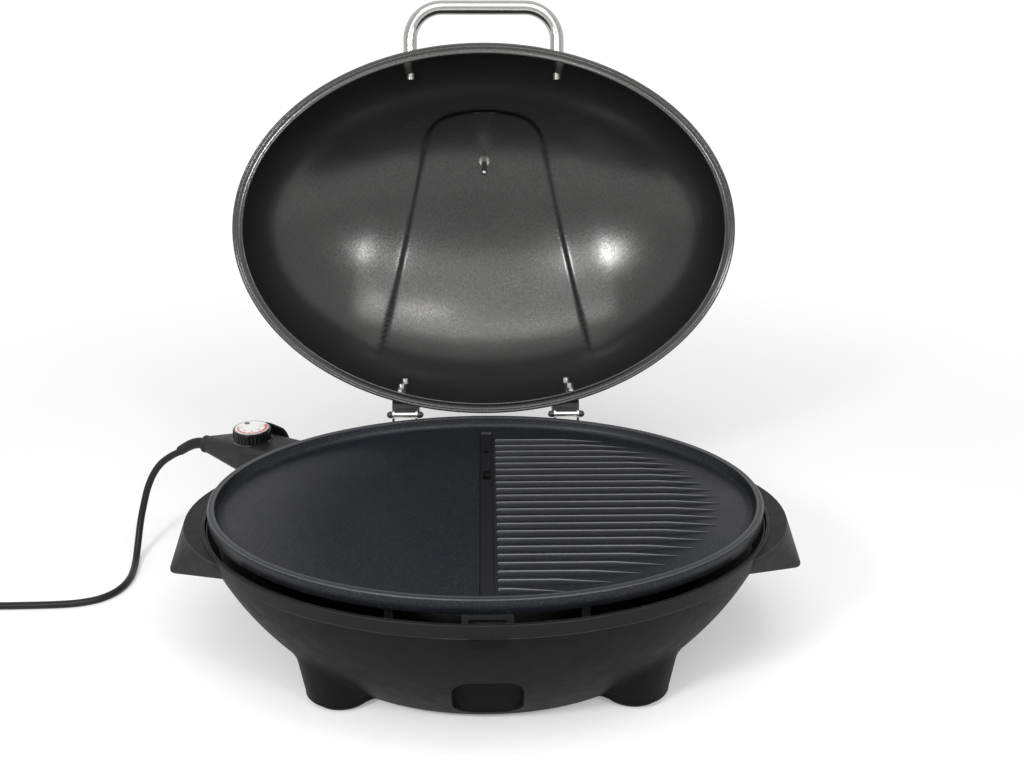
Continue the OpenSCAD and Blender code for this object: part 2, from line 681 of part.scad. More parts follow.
module hinge_bolts() color([0.85, 0.85, 0.86])
    swing_open() for (sx = [-1, 1], b = hinge_bolt_at) {
        x = hinge_x - b[0];
        y = oval_y_dome(x, b[1]);
        translate([sx * x, y, b[1]]) rotate([-90, 0, 0]) translate([0, 0, -2]) cylinder(r = hinge_bolt_r, h = 10, $fn = small_fn);
        intersection() {
            translate([sx * x, y, b[1]]) rotate([-90, 0, 0]) translate([0, 0, -3.4]) cylinder(r = 3.6, h = 8, $fn = small_fn);
            dome(0);
        }
    }

handle_screw_r = 2.2;
ferrule_h = 9;
handle_y = wall_y - lid_t - handle_reach;     // middle line of the handle's bar

module lid_handle() color([0.85, 0.85, 0.86])
    swing_open() {
        leg = handle_reach - handle_bend - ferrule_h + 2;
        for (sx = [-1, 1]) {
            translate([sx * screw_x, handle_y + handle_bend, screw_z]) rotate([-90, 0, 0]) difference() {
                cylinder(d = handle_d, h = leg, $fn = small_fn);
                translate([0, 0, leg - 16]) cylinder(r = handle_screw_r, h = 17, $fn = small_fn);
            }
            translate([sx * (screw_x - handle_bend), handle_y + handle_bend, screw_z]) rotate([0, 0, sx > 0 ? -90 : 180])
                rotate_extrude(angle = 90, $fn = mid_fn) translate([handle_bend, 0]) circle(d = handle_d, $fn = small_fn);
        }
        translate([-screw_x + handle_bend, handle_y, screw_z]) rotate([0, 90, 0])
            cylinder(d = handle_d, h = 2 * (screw_x - handle_bend), $fn = small_fn);
    }

// where a handle screw leaves the lid's wall, and the wall's outward direction there
wall_a = mouth_w / 2 + lid_t;
wall_b = mouth_d / 2 + lid_t;
wall_c = dome_h + lid_t;
function wall_spot(sx) = [sx * screw_x, -wall_b * sqrt(1 - pow(screw_x / wall_a, 2) - pow((screw_z - lid_z) / wall_c, 2)), screw_z];
function wall_normal(p) = unit([p[0] / (wall_a * wall_a), p[1] / (wall_b * wall_b), (p[2] - lid_z) / (wall_c * wall_c)]);

module handle_ferrules() color([0.8, 0.8, 0.81])
    swing_open() for (sx = [-1, 1]) let (p = wall_spot(sx), n = wall_normal(p)) difference() {
        translate([sx * screw_x, handle_y + handle_reach, screw_z]) rotate([-90, 0, 0]) {
            translate([0, 0, 2 - ferrule_h]) cylinder(r1 = handle_d / 2 + 0.8, r2 = handle_d / 2 + 2, h = ferrule_h - 4, $fn = small_fn);
            translate([0, 0, -2]) cylinder(r = handle_d / 2 + 2, h = 10, $fn = small_fn);
        }
        translate(p) rotate([0, acos(n[2]), atan2(n[1], n[0])]) translate([-30, -30, -60.05]) cube([60, 60, 60]);
        translate([sx * screw_x, wall_y, screw_z]) rotate([90, 0, 0]) cylinder(r = handle_screw_r, h = 90, center = true, $fn = small_fn);
    }

module handle_screws() color([0.85, 0.85, 0.86])
    swing_open() for (sx = [-1, 1]) translate([sx * screw_x, wall_y, screw_z]) {
        rotate([90, 0, 0]) translate([0, 0, -2]) cylinder(r = handle_screw_r, h = 20, $fn = small_fn);
        intersection() {
            rotate([-90, 0, 0]) translate([0, 0, -4]) cylinder(r = 4.4, h = 8, $fn = small_fn);
            translate([-sx * screw_x, -wall_y, -screw_z]) dome(0);
        }
    }

// ---------- thermometer ----------

gauge_h = 13;
needle_z = 8.6;
module gauge_case() color([0.75, 0.75, 0.76])
    swing_open() difference() {
        at_gauge() difference() {
            union() {
                cylinder(d = gauge_d - 3, h = gauge_h - 3, $fn = mid_fn);
                translate([0, 0, -4]) cylinder(d = gauge_d - 12, h = 5, $fn = mid_fn);
            }
            translate([0, 0, 6]) cylinder(d = gauge_d - 7, h = gauge_h, $fn = mid_fn);
            translate([0, 0, -6]) cylinder(d = stem_d, h = 13, $fn = small_fn);
        }
        dome(lid_t);
    }

module gauge_bezel() color([0.85, 0.85, 0.86])
    swing_open() at_gauge() translate([0, 0, gauge_h - 3]) rotate_extrude($fn = mid_fn)
        polygon(concat([[gauge_d / 2 - 4, 0], [gauge_d / 2, 0]], arc(gauge_d / 2 - 1.5, 1.5, 1.5, 0, 90, 4), [[gauge_d / 2 - 3, 3], [gauge_d / 2 - 4, 2]]));

module gauge_face() color([0.93, 0.93, 0.92])
    swing_open() at_gauge() translate([0, 0, 6]) difference() {
        cylinder(d = gauge_d - 7, h = 1, $fn = mid_fn);
        translate([0, 0, -1]) cylinder(d = 3, h = 3, $fn = small_fn);
    }

module gauge_needle() color([0.75, 0.1, 0.08])
    swing_open() at_gauge() {
        translate([0, 0, needle_z]) cylinder(r = 2.2, h = 0.6, $fn = small_fn);
        translate([0, 0, 6.2]) cylinder(d = 3 - 2 * run_fit, h = needle_z - 6, $fn = small_fn);
        translate([0, 0, needle_z]) linear_extrude(0.5) polygon([[-1.3, -6], [1.3, -6], [0.3, gauge_d / 2 - 9], [-0.3, gauge_d / 2 - 9]]);
    }

module gauge_lens() color([0.8, 0.85, 0.88, 0.35])
    swing_open() at_gauge() translate([0, 0, gauge_h - 3]) cylinder(r = gauge_d / 2 - 4, h = 1.4, $fn = mid_fn);

module gauge_stem() color([0.83, 0.83, 0.84])
    swing_open() at_gauge() {
        translate([0, 0, -stem_l - 4]) cylinder(d = stem_d, h = stem_l + 4 + 5.9, $fn = small_fn);
        translate([0, 0, -stem_l - 4]) sphere(d = stem_d, $fn = small_fn);
    }

module gauge_nut() color([0.85, 0.85, 0.86])
    swing_open() at_gauge() translate([0, 0, -lid_t - 0.2 - 5]) difference() {
        union() {
            cylinder(r = 5.4, h = 5, $fn = 6);
            translate([0, 0, 4.4]) cylinder(r = 5.6, h = 0.6, $fn = small_fn);
        }
        translate([0, 0, -1]) cylinder(d = stem_d, h = 8, $fn = small_fn);
    }

// ---------- temperature control ----------

// teardrop body round the dial, and the nose that plugs in
module control_block() {
    head_r = control_w / 2;
    hull() {
        translate([0, 0, control_z]) {
            cylinder(r = head_r - 4, h = 2 * control_half, center = true, $fn = small_fn);
            cylinder(r = head_r, h = 2 * control_half - 10, center = true, $fn = small_fn);
            translate([collar_s + 6, 0, 0]) rotate([0, 90, 0]) cylinder(r = 9, h = 2, $fn = small_fn);
        }
    }
    hull() {
        translate([0, 0, control_z]) {
            cylinder(r = head_r - 4, h = 2 * control_half, center = true, $fn = small_fn);
            cylinder(r = head_r, h = 2 * control_half - 10, center = true, $fn = small_fn);
            for (y = [-1, 1], z = [-1, 1]) translate([42, y * (nose_w / 2 - 4), z * (nose_h / 2 - 4)])
                rotate([0, 90, 0]) cylinder(r = 4, h = 2, $fn = small_fn);
        }
    }
    hull() for (y = [-1, 1], z = [-1, 1]) translate([43, y * (nose_w / 2 - 4), control_z + z * (nose_h / 2 - 4)])
        rotate([0, 90, 0]) cylinder(r = 4, h = nose_s - 43, $fn = small_fn);
}

sleeve_d = contact_d + 2.4;
sleeve_l = 22;

module control_bores() {
    for (side = [-1, 1]) translate([nose_s - sleeve_l, side * contact_pitch / 2, control_z]) rotate([0, 90, 0])
        cylinder(d = sleeve_d, h = sleeve_l + 1, $fn = small_fn);
    translate([nose_s - 30, 0, control_z]) rotate([0, 90, 0]) cylinder(d = probe_d, h = 31, $fn = small_fn);
    translate([0, 0, control_z - 2]) cylinder(d = shaft_d + 2 * run_fit, h = 30, $fn = small_fn);
}

module control_lower() color([0.16, 0.16, 0.17])
    at_control() difference() {
        intersection() {
            control_block();
            translate([-100, -50, control_z - 50]) cube([200, 100, 50]);
        }
        control_bores();
    }

module control_upper() color([0.16, 0.16, 0.17])
    at_control() difference() {
        intersection() {
            control_block();
            translate([-100, -50, control_z]) cube([200, 100, 50]);
        }
        control_bores();
    }

shaft_d = 6;
module control_ring() color([0.1, 0.1, 0.11])
    at_control() translate([0, 0, deck_z]) rotate_extrude($fn = mid_fn)
        polygon([[shaft_d / 2 + 1, 0], [dial_d / 2 + 0.8, 0], [dial_d / 2 + 0.4, 1.5], [shaft_d / 2 + 1, 1.5]]);

module cord_collar() color([0.13, 0.13, 0.14])
    at_control() translate([collar_s - 1, 0, control_z]) rotate([0, 90, 0]) rotate_extrude($fn = mid_fn)
        polygon([[0, 0], [7.2, 0], [8.6, 1.2], [8.8, 3], [8, 4.2], [8.6, 5.4], [8.4, 7], [0, 7]]);

// the relief droops with the lead
relief_route = [[collar_s - 1.15, 0, control_z], [collar_s - 4, 0, control_z], [collar_s - 8.5, 0, control_z - 0.6], [collar_s - 15, 0, control_z - 3],
    [collar_s - 22, 0, control_z - 7], [collar_s - 30, 0, control_z - 12.5]];

module strain_relief() color([0.1, 0.1, 0.11])
    at_control() swept_tube(smooth(relief_route, 2), 5.7, 4.9, 20);

probe_from = nose_s - 30;
module probe_rod() color([0.75, 0.72, 0.66])
    at_control() translate([probe_from, 0, control_z]) rotate([0, 90, 0]) {
        cylinder(d = probe_d, h = boss_s0 + boss_l - 12 - probe_from, $fn = small_fn);
        translate([0, 0, boss_s0 + boss_l - 12 - probe_from]) cylinder(d1 = probe_d, d2 = probe_d - 3, h = 2, $fn = small_fn);
    }

module contact_sleeves() color([0.8, 0.65, 0.35])
    at_control() for (side = [-1, 1]) translate([nose_s - sleeve_l, side * contact_pitch / 2, control_z]) rotate([0, 90, 0])
        difference() {
            cylinder(d = sleeve_d, h = sleeve_l, $fn = small_fn);
            translate([0, 0, 2]) cylinder(d = contact_d + 2 * run_fit, h = sleeve_l, $fn = small_fn);
        }

flutes = 30;
module dial_knob() color([0.06, 0.06, 0.06])
    at_control() translate([0, 0, dial_low]) difference() {
        union() {
            linear_extrude(dial_h - 2.4) polygon([for (i = [0:4 * flutes - 1]) let (r = dial_d / 2 - (i % 4 < 2 ? 0 : 0.7), a = i * 90 / flutes)
                [r * cos(a), r * sin(a)]]);
            translate([0, 0, dial_h - 2.4]) rotate_extrude($fn = mid_fn)
                polygon(concat([[0, 0], [dial_d / 2 - 0.3, 0]], arc(dial_d / 2 - 1.7, 1, 1.4, 0, 90, 4), [[0, 2.4]]));
        }
        translate([0, 0, dial_h - 0.7]) cylinder(d = dial_d - 3.6, h = 2, $fn = mid_fn);
        translate([0, 0, -1]) cylinder(d = shaft_d, h = dial_h - 1, $fn = small_fn);
    }

module dial_face() color([0.9, 0.9, 0.9])
    at_control() translate([0, 0, dial_low + dial_h - 0.7]) cylinder(d = dial_d - 3.6, h = 0.9, $fn = mid_fn);

module dial_shaft() color([0.7, 0.7, 0.7])
    at_control() translate([0, 0, control_z]) cylinder(d = shaft_d, h = dial_low + dial_h - 2 - control_z, $fn = small_fn);

// ---------- mains lead ----------

coil_x = -560;
coil_y = 107.5;
coil_in = 4 * cord_d;             // inner radius of the two spiral layers of turns
coil_out = coil_in + 3 * cord_d;

// route of the lead from the relief to the coil
cord_route = [[-306, 176.5, 111.5], [-318, 180, 104.5], [-330, 182, 95], [-339, 182, 83], [-346, 180.5, 68], [-351, 177.5, 51],
    [-354.5, 172, 35], [-356, 163, 20], [-356, 152, 9.5], [-355, 140, 4.6], [-353.5, 126, 3.6], [-353, 112, 3.6], [-355, 98, 3.6],
    [-361, 84, 3.6], [-372, 73, 3.6], [-386, 67, 3.6], [-402, 64, 3.6], [-430, 62.5, 3.6], [-465, 62, 3.6], [-500, 62, 3.6], [-530, 62, 3.6], [-538, 62, 3.6]];

tail_route = [[-581.8, 68.9, 10.6], [-590.5, 73.8, 10.6], [-599.2, 78.7, 9.8], [-607.5, 83.8, 7.6], [-614.5, 90, 5.4], [-620, 99, 4.1],
    [-623, 110, 3.7], [-624, 121, 4.2], [-624, 132, 6.6], [-624, 143, 11], [-624, 154, 15.8], [-624, 162, 18], [-624, 167, 18.5]];

function unit(v) = v / norm(v);
function tangent(p, i) = unit(p[min(i + 1, len(p) - 1)] - p[max(i - 1, 0)]);

// points between the hand-set ones, on a smooth curve through them
function smooth(p, steps) = concat([for (i = [0:len(p) - 2], k = [0:steps - 1])
    let (u = k / steps, a = p[max(i - 1, 0)], b = p[i], c = p[i + 1], d = p[min(i + 2, len(p) - 1)])
    0.5 * (2 * b + (c - a) * u + (2 * a - 5 * b + 4 * c - d) * u * u + (3 * b - a - 3 * c + d) * u * u * u)], [p[len(p) - 1]]);

// side direction of each ring, carried along the route so that the rings don't twist
function carry(t, s) = unit(s - (s * t) * t);
function sides(p, i, s) = i == len(p) ? [] : let (n = carry(tangent(p, i), s)) concat([n], sides(p, i + 1, n));

// round tube along p, of radius r at its start and r_end at its end
module swept_tube(p, r, r_end, n) {
    s = sides(p, 0, [0.13, -0.2, 1]);
    rings = [for (i = [0:len(p) - 1], k = [0:n - 1]) let (t = tangent(p, i), b = cross(t, s[i]), a = 360 * k / n)
        p[i] + (r + (r_end - r) * i / (len(p) - 1)) * (cos(a) * s[i] + sin(a) * b)];
    last = (len(p) - 1) * n;
    polyhedron(rings, concat([[for (k = [0:n - 1]) k]],
        [for (i = [0:len(p) - 2], k = [0:n - 1]) [i * n + k, (i + 1) * n + k, (i + 1) * n + (k + 1) % n, i * n + (k + 1) % n]],
        [[for (k = [n - 1:-1:0]) last + k]]), convexity = 6);
}

module power_cord() color([0.08, 0.08, 0.08]) swept_tube(smooth(cord_route, 2), cord_d / 2, cord_d / 2, 10);

module cord_tail() color([0.08, 0.08, 0.08]) swept_tube(smooth(tail_route, 1), cord_d / 2, cord_d / 2, 10);

module cord_coil() color([0.08, 0.08, 0.08])
    translate([coil_x, coil_y, 0]) rotate_extrude($fn = mid_fn) translate([coil_in, 0]) square([coil_out - coil_in, 2 * cord_d]);

module cord_tie() color([0.12, 0.12, 0.12])
    translate([coil_x, coil_y + (coil_in + coil_out) / 2, 0]) difference() {
        translate([-3, -1.5 * cord_d - 1.2, 0]) cube([6, 3 * cord_d + 2.4, 2 * cord_d + 1.2]);
        translate([-4, -1.5 * cord_d - 0.2, -1]) cube([8, 3 * cord_d + 0.4, 2 * cord_d + 1.2]);
    }

plug_at = [-624, 167, 18.5];
module plug_body() color([0.09, 0.09, 0.09])
    translate(plug_at) rotate([-90, 0, 0]) difference() {
        rotate_extrude($fn = mid_fn) polygon(concat([[0, 0], [5, 0], [6, 14], [8.5, 20], [10.5, 30]],
            curve3([12, 38], [13, 44], [18.4, 46], 5), [[18.4, 56], [0, 56]]));
        translate([0, 0, 50]) cylinder(r = 16.4, h = 10, $fn = mid_fn);
    }

module plug_face() color([0.12, 0.12, 0.12])
    translate(plug_at) rotate([-90, 0, 0]) translate([0, 0, 50]) difference() {
        cylinder(r = 16.4, h = 6.5, $fn = mid_fn);
        for (x = [-9.5, 9.5]) translate([x, 0, 1]) cylinder(r = 2.4, h = 10, $fn = small_fn);
    }

module plug_pins() color([0.8, 0.78, 0.7])
    translate(plug_at) rotate([-90, 0, 0]) for (x = [-9.5, 9.5]) translate([x, 0, 51]) {
        cylinder(r = 2.4, h = 22, $fn = small_fn);
        translate([0, 0, 22]) cylinder(r1 = 2.4, r2 = 1.4, h = 1.5, $fn = small_fn);
    }

base_bowl();
base_rim();
foot_pads();
socket_guard();
front_catch();
base_screws();
heat_reflector();
drip_tray();
plate_posts();
plate_rests();
grill_plate();
heating_element();
contact_pins();
element_clips();
terminal_block();
hinge_brackets();
hinge_pins();
pin_caps();
bracket_screws();
lid_shell();
lid_skirt();
lid_rim();
lid_arch();
lid_hinge_arms();
hinge_barrels();
hinge_bolts();
lid_handle();
handle_ferrules();
handle_screws();
gauge_case();
gauge_bezel();
gauge_face();
gauge_needle();
gauge_lens();
gauge_stem();
gauge_nut();
control_lower();
control_upper();
control_ring();
cord_collar();
strain_relief();
probe_rod();
contact_sleeves();
dial_knob();
dial_face();
dial_shaft();
power_cord();
cord_coil();
cord_tail();
cord_tie();
plug_body();
plug_face();
plug_pins();
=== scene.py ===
# %% [markdown]
# # An oval table grill with its lid open
# The grill's solids come ready made from the CAD source, in metres, with Z up and the hinge at the back.
# This script gives them their finishes, and makes the pieces that a plain solid can't show well: the pressed
# lid, the cast plate, the moulded bowl, the wound lead and the print. Each cell explains one piece or one finish
# before it makes it.

# %% The frame
from math import cos, pi, radians, sin, sqrt

import bmesh
import bpy
import numpy as np
from mathutils import Matrix, Vector


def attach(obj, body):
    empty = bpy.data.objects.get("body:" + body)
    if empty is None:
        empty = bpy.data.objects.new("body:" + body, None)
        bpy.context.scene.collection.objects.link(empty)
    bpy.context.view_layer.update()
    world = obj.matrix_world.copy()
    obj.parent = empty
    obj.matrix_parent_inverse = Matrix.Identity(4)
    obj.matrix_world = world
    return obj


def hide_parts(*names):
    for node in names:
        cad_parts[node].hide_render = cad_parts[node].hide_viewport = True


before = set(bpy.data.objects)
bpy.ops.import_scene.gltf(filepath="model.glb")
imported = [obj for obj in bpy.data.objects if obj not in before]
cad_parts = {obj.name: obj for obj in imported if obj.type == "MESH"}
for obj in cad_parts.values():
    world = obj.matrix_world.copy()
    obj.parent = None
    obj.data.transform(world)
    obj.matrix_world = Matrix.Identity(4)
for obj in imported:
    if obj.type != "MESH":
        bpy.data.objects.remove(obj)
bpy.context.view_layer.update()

# %% [markdown]
# ## The camera
# It stands about a metre in front of the grill and looks down at it by 22 degrees, turned a hair to the right,
# with a lens of 44 mm. A camera looks along its own -Z, so it starts from a plain turn about X, then
# takes its small turn about Z and its even smaller roll.

# %% Camera
def place_camera(at, down, right, roll, lens):
    data = bpy.data.cameras.new("studio_camera")
    data.lens, data.sensor_width, data.clip_end = lens, 36, 50
    camera = bpy.data.objects.new("studio_camera", data)
    camera.matrix_world = (Matrix.Translation(at) @ Matrix.Rotation(-right, 4, "Z")
                           @ Matrix.Rotation(pi / 2 - down, 4, "X") @ Matrix.Rotation(roll, 4, "Z"))
    bpy.context.scene.collection.objects.link(camera)
    bpy.context.scene.camera = camera
    return camera

camera = place_camera(at=(-0.0015, -0.9729, 0.6459), down=0.3836, right=0.024, roll=0.003, lens=43.945)
print("camera at", [round(c, 3) for c in camera.matrix_world.translation])

# %% [markdown]
# ## Making and holding pieces
# Every new piece is a mesh that rides on one CAD body, names the finish that it takes, and may stand for CAD nodes.
# One helper does that bookkeeping, so each later cell is only about shape.

# %% Helpers for pieces
def full_turn(n):
    """Angles of n even steps round a circle."""
    return [2 * pi * k / n for k in range(n)]

def new_mesh(name, verts, faces, smooth=True):
    mesh = bpy.data.meshes.new(name)
    mesh.from_pydata([tuple(v) for v in verts], [], [tuple(f) for f in faces])
    mesh.validate()
    mesh.polygons.foreach_set("use_smooth", [smooth] * len(mesh.polygons))
    piece = bpy.data.objects.new(name, mesh)
    bpy.context.scene.collection.objects.link(piece)
    return piece

def fit_piece(piece, body, slot, material, *stands_for):
    """Gives a piece its finish, its body, and the CAD nodes that it stands for; slot is not used."""
    if material:
        piece.data.materials.append(material)
    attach(piece, body)
    if stands_for:
        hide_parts(*stands_for)


# %% [markdown]
# ## The mains lead
# A lead is one length of cable that never ends cut off. This one leaves the strain relief of the plug-in control,
# falls to the worktop, runs off to the left and is wound there in two flat layers with its plug beside it.
# The given points are few and round. A Catmull-Rom curve through them gives the smooth run, and the
# wound part is a spiral: two turns inwards, a climb of one cable thickness, and almost two turns outwards.

# %% Route of the lead
CABLE = 0.007
lead_points = [(-306, 176.5, 111.5), (-318, 180, 104.5), (-330, 182, 95), (-339, 182, 83), (-346, 180.5, 68),
               (-351, 177.5, 51), (-354.5, 172, 35), (-356, 163, 20), (-356, 152, 9.5), (-355, 140, 4.6),
               (-353.5, 126, 3.6), (-353, 112, 3.6), (-355, 98, 3.6), (-361, 84, 3.6), (-372, 73, 3.6),
               (-386, 67, 3.6), (-402, 64, 3.6), (-430, 62.5, 3.6), (-465, 62, 3.6), (-500, 62, 3.6),
               (-530, 62, 3.6), (-546, 62, 3.6)]
tail_points = [(-590.5, 73.8, 10.6), (-599.2, 78.7, 9.8), (-607.5, 83.8, 7.6), (-614.5, 90, 5.4), (-620, 99, 4.1),
               (-623, 110, 3.7), (-624, 121, 4.2), (-624, 132, 6.6), (-624, 143, 11), (-624, 154, 15.8),
               (-624, 162, 18), (-624, 167, 18.5)]
COIL = Vector((-0.560, 0.1075, 0))     # middle of the coil, in metres
LOW, LAYER = 3.6, 7                    # height of the lower layer's middle and thickness of a layer, in millimetres
OUTER, INNERMOST = 45.5, 31.5          # largest and smallest radius of the turns

def metres(points):
    return [Vector(p) / 1000 for p in points]

def through(points, steps):
    """A smooth run of points through the given ones."""
    run = []
    for i in range(len(points) - 1):
        a, b, c, d = points[max(i - 1, 0)], points[i], points[i + 1], points[min(i + 2, len(points) - 1)]
        for k in range(steps):
            u = k / steps
            pull, curl, twist = c - a, 2 * a - 5 * b + 4 * c - d, 3 * b - a - 3 * c + d
            run.append(0.5 * (2 * b + pull * u + curl * u * u + twist * u ** 3))
    return run + [points[-1]]

def ease(u):
    """From 0 to 1 with a level start and a level end."""
    u = np.clip(u, 0, 1)
    return u * u * (3 - 2 * u)

def wound(turns):
    """The coil, clockwise seen from above from its front, for angles in degrees."""
    run = []
    for turn in turns:
        radius = OUTER - LAYER * turn / 360 if turn < 720 else INNERMOST + LAYER * max(turn - 810, 0) / 360
        height = LOW + LAYER * ease((turn - 720) / 90)
        angle = radians(-90 - turn)
        run.append(COIL + Vector((radius * cos(angle), radius * sin(angle), height)) / 1000)
    return run

lead_run = through(metres(lead_points), 3)
coil_run = wound(range(0, 1470, 10))
tail_run = through(metres(tail_points), 3)
whole_run = lead_run + coil_run + tail_run
lead_length = sum((b - a).length for a, b in zip(whole_run, whole_run[1:]))
print("lead is", round(lead_length, 3), "m long over", len(whole_run), "points")

# %% The lead itself
def tube(name, points, radius, sides=16):
    """A round skin along points, closed at both ends; its rings are carried along without twist."""
    verts, faces, side = [], [], Vector((0, 0, 1))
    for i, p in enumerate(points):
        ahead = (points[min(i + 1, len(points) - 1)] - points[max(i - 1, 0)]).normalized()
        side = (side - ahead * side.dot(ahead)).normalized()
        up = ahead.cross(side)
        verts += [p + (side * cos(t) + up * sin(t)) * radius for t in full_turn(sides)]
    for i in range(len(points) - 1):
        for k in range(sides):
            a, b = i * sides + k, i * sides + (k + 1) % sides
            faces.append((a, b, b + sides, a + sides))
    faces.append(tuple(range(sides))[::-1])
    faces.append(tuple(len(verts) - sides + k for k in range(sides)))
    return new_mesh(name, verts, faces)

lead = tube("mains_lead", whole_run, CABLE / 2)
fit_piece(lead, "control", "cord_black", None, "power_cord", "cord_coil", "cord_tail")
print("lead leaves the relief at", [round(c, 4) for c in lead_run[0]])

# %% [markdown]
# ## The lid's pressing
# A lid like this is one sheet of steel, drawn into a deep oval dome, with a flange turned out round its mouth,
# a rolled edge, and an arch pressed into the crown that stiffens it. A loft makes it: rings of points from the
# crown down the inside, round the flange and its roll, and up the outside again. The arch is a step of
# 1.7 mm, and points close to its two creases are slid onto them, so that the creases stay crisp. The slope of the
# step is marked on the inside of the mesh, where the finish lays a painted shade. A mark is a number kept
# on each point, which a finish can read by its name.

# %% Swing of the lid
HINGE = Vector((0, 0.183, 0.1465))
swing = Matrix.Translation(HINGE) @ Matrix.Rotation(radians(-105), 4, "X") @ Matrix.Translation(-HINGE)
print("a point above the hinge swings to", [round(c, 3) for c in swing @ (HINGE + Vector((0, 0, 0.1)))])

# %% Outline of the arch
MOUTH_A, MOUTH_B, DOME = 239, 172, 118     # half width, half depth and height of the dome, in millimetres
LID_Z, SHEET = 151.1, 0.8                  # level of its mouth when shut, and thickness of the sheet

def arc(cx, cy, r, start, end, steps):
    """Points of a round bend between two angles in degrees."""
    angles = [radians(start + (end - start) * k / steps) for k in range(steps + 1)]
    return [(cx + r * cos(a), cy + r * sin(a)) for a in angles]

arch_path = np.array([(-116, 140), (-65, -90)] + arc(-28, -86, 37, 193, 255, 12) + arc(0, 18, 145, 255, 285, 16)
                     + arc(28, -86, 37, 285, 347, 12) + [(65, -90), (116, 140)])

def into_arch(points):
    """Distance to the arch's outline, positive inside it, and the way towards the inside."""
    best, toward = np.full(len(points), 1e9), np.zeros_like(points)
    inside = np.zeros(len(points), bool)
    ring = np.vstack([arch_path, arch_path[:1]])
    for k, (a, b) in enumerate(zip(ring, ring[1:])):
        crossing = (a[1] > points[:, 1]) != (b[1] > points[:, 1])
        run = np.where(abs(b[1] - a[1]) < 1e-9, 1e-9, b[1] - a[1])
        inside ^= crossing & (points[:, 0] < (b[0] - a[0]) * (points[:, 1] - a[1]) / run + a[0])
        if k == len(arch_path) - 1:
            break
        t = np.clip(((points - a) @ (b - a)) / ((b - a) @ (b - a)), 0, 1)
        off = points - (a + t[:, None] * (b - a))
        far = np.hypot(off[:, 0], off[:, 1])
        near = far < best
        best[near], toward[near] = far[near], off[near] / np.maximum(far[near], 1e-9)[:, None]
    sign = np.where(inside, 1, -1)
    return best * sign, toward * sign[:, None]

print("arch outline has", len(arch_path), "points")

# %% The pressed lid
STEP, BEVEL, ROWS = 1.7, 4.4, 130     # height and width of the arch's step, and rings from crown to mouth
APRON = 45                            # width of the sheet outside the arch that comes back to the plain dome
CRISP, LEGS_END = 112, 134            # how far back the creases are kept crisp, and where the arch's legs run out
around = full_turn(320)

def dome_rows(grow, last_turn):
    """Rings from the crown to the mouth on the ellipsoid that is larger by grow, with the arch pressed in."""
    rings = []
    a, b, c = MOUTH_A + grow, MOUTH_B + grow, DOME + grow
    for k in range(1, ROWS + 1):
        turn = last_turn * k / ROWS
        plan = np.array([(a * sin(turn) * cos(t), b * sin(turn) * sin(t)) for t in around])
        for crease in (0, BEVEL):
            d, toward = into_arch(plan)
            slide = np.where((abs(d - crease) < 1) & (plan[:, 1] < CRISP), crease - d, 0)
            plan = plan + toward * slide[:, None]
        d, _ = into_arch(plan)
        press = -STEP * np.clip(1 - d / BEVEL, 0, 1) * ease(1 + d / APRON) * ease((LEGS_END - plan[:, 1]) / 30)
        rise = c * np.sqrt(np.maximum(1 - (plan[:, 0] / a) ** 2 - (plan[:, 1] / b) ** 2, 0))
        normal = np.stack([plan[:, 0] / a ** 2, plan[:, 1] / b ** 2, rise / c ** 2], 1)
        normal /= np.linalg.norm(normal, axis=1)[:, None]
        rings.append(np.stack([plan[:, 0], plan[:, 1], LID_Z + rise], 1) + normal * press[:, None])
    return rings

# how far the flange's rings stand out from the mouth, and their heights
flange = ([(0.12, 150.6), (0.6, 150.16), (1.3, 150.02), (1.9, 150.16), (2.3, 150.4), (4.2, 150.42), (6.2, 150.4),
           (6.5, 150.16), (6.8, 150.1), (7.1, 150.2), (7.5, 150.36), (8, 150.2)] + arc(9, 151.1, 1.5, -100, 95, 9)
          + [(8, 152.1), (7.4, 151.4), (6.5, 151.2), (2.8, 151.2), (1.5, 151.5), (0.95, 152.1)])
rings = dome_rows(0, pi / 2)
rings += [np.array([((MOUTH_A + d) * cos(t), (MOUTH_B + d) * sin(t), z) for t in around]) for d, z in flange]
rings += dome_rows(SHEET, pi / 2 - 0.012)[::-1]

def loft(rings, name):
    """A skin over rings of one length, closed at both ends by a fan of triangles."""
    n = len(rings[0])
    verts = [tuple(p) for ring in rings for p in ring]
    faces = [(i * n + k, i * n + (k + 1) % n, (i + 1) * n + (k + 1) % n, (i + 1) * n + k)
             for i in range(len(rings) - 1) for k in range(n)]
    for start, ring, flip in ((0, rings[0], True), ((len(rings) - 1) * n, rings[-1], False)):
        centre, sides = len(verts), [(start + k, start + (k + 1) % n) for k in range(n)]
        verts.append(tuple(np.mean(np.array(ring), axis=0)))
        faces += [(centre, b, a) if flip else (centre, a, b) for a, b in sides]
    return new_mesh(name, verts, faces)

def mark_points(piece, label, values):
    """Keeps a number on each point of the mesh, under a name that a finish can read."""
    attribute = piece.data.attributes.new(label, "FLOAT", "POINT")
    attribute.data.foreach_set("value", np.asarray(values, np.float32))

pressing = loft([ring / 1000 for ring in rings], "lid_pressing")
plan = np.array([v.co[:2] for v in pressing.data.vertices]) * 1000
depth, _ = into_arch(plan)
# painted shade along the slope of the arch's step, on the inside of the lid
slope = np.clip(1.35 - abs(depth - BEVEL / 2) / (BEVEL / 2), 0, 1) * np.clip((LEGS_END - plan[:, 1]) / 20, 0, 1)
slope[ROWS * len(around):] = 0        # only the inside, whose rings come first
mark_points(pressing, "painted_shade", slope)
pressing.data.transform(swing)
print("lid pressing has", len(pressing.data.vertices), "points")

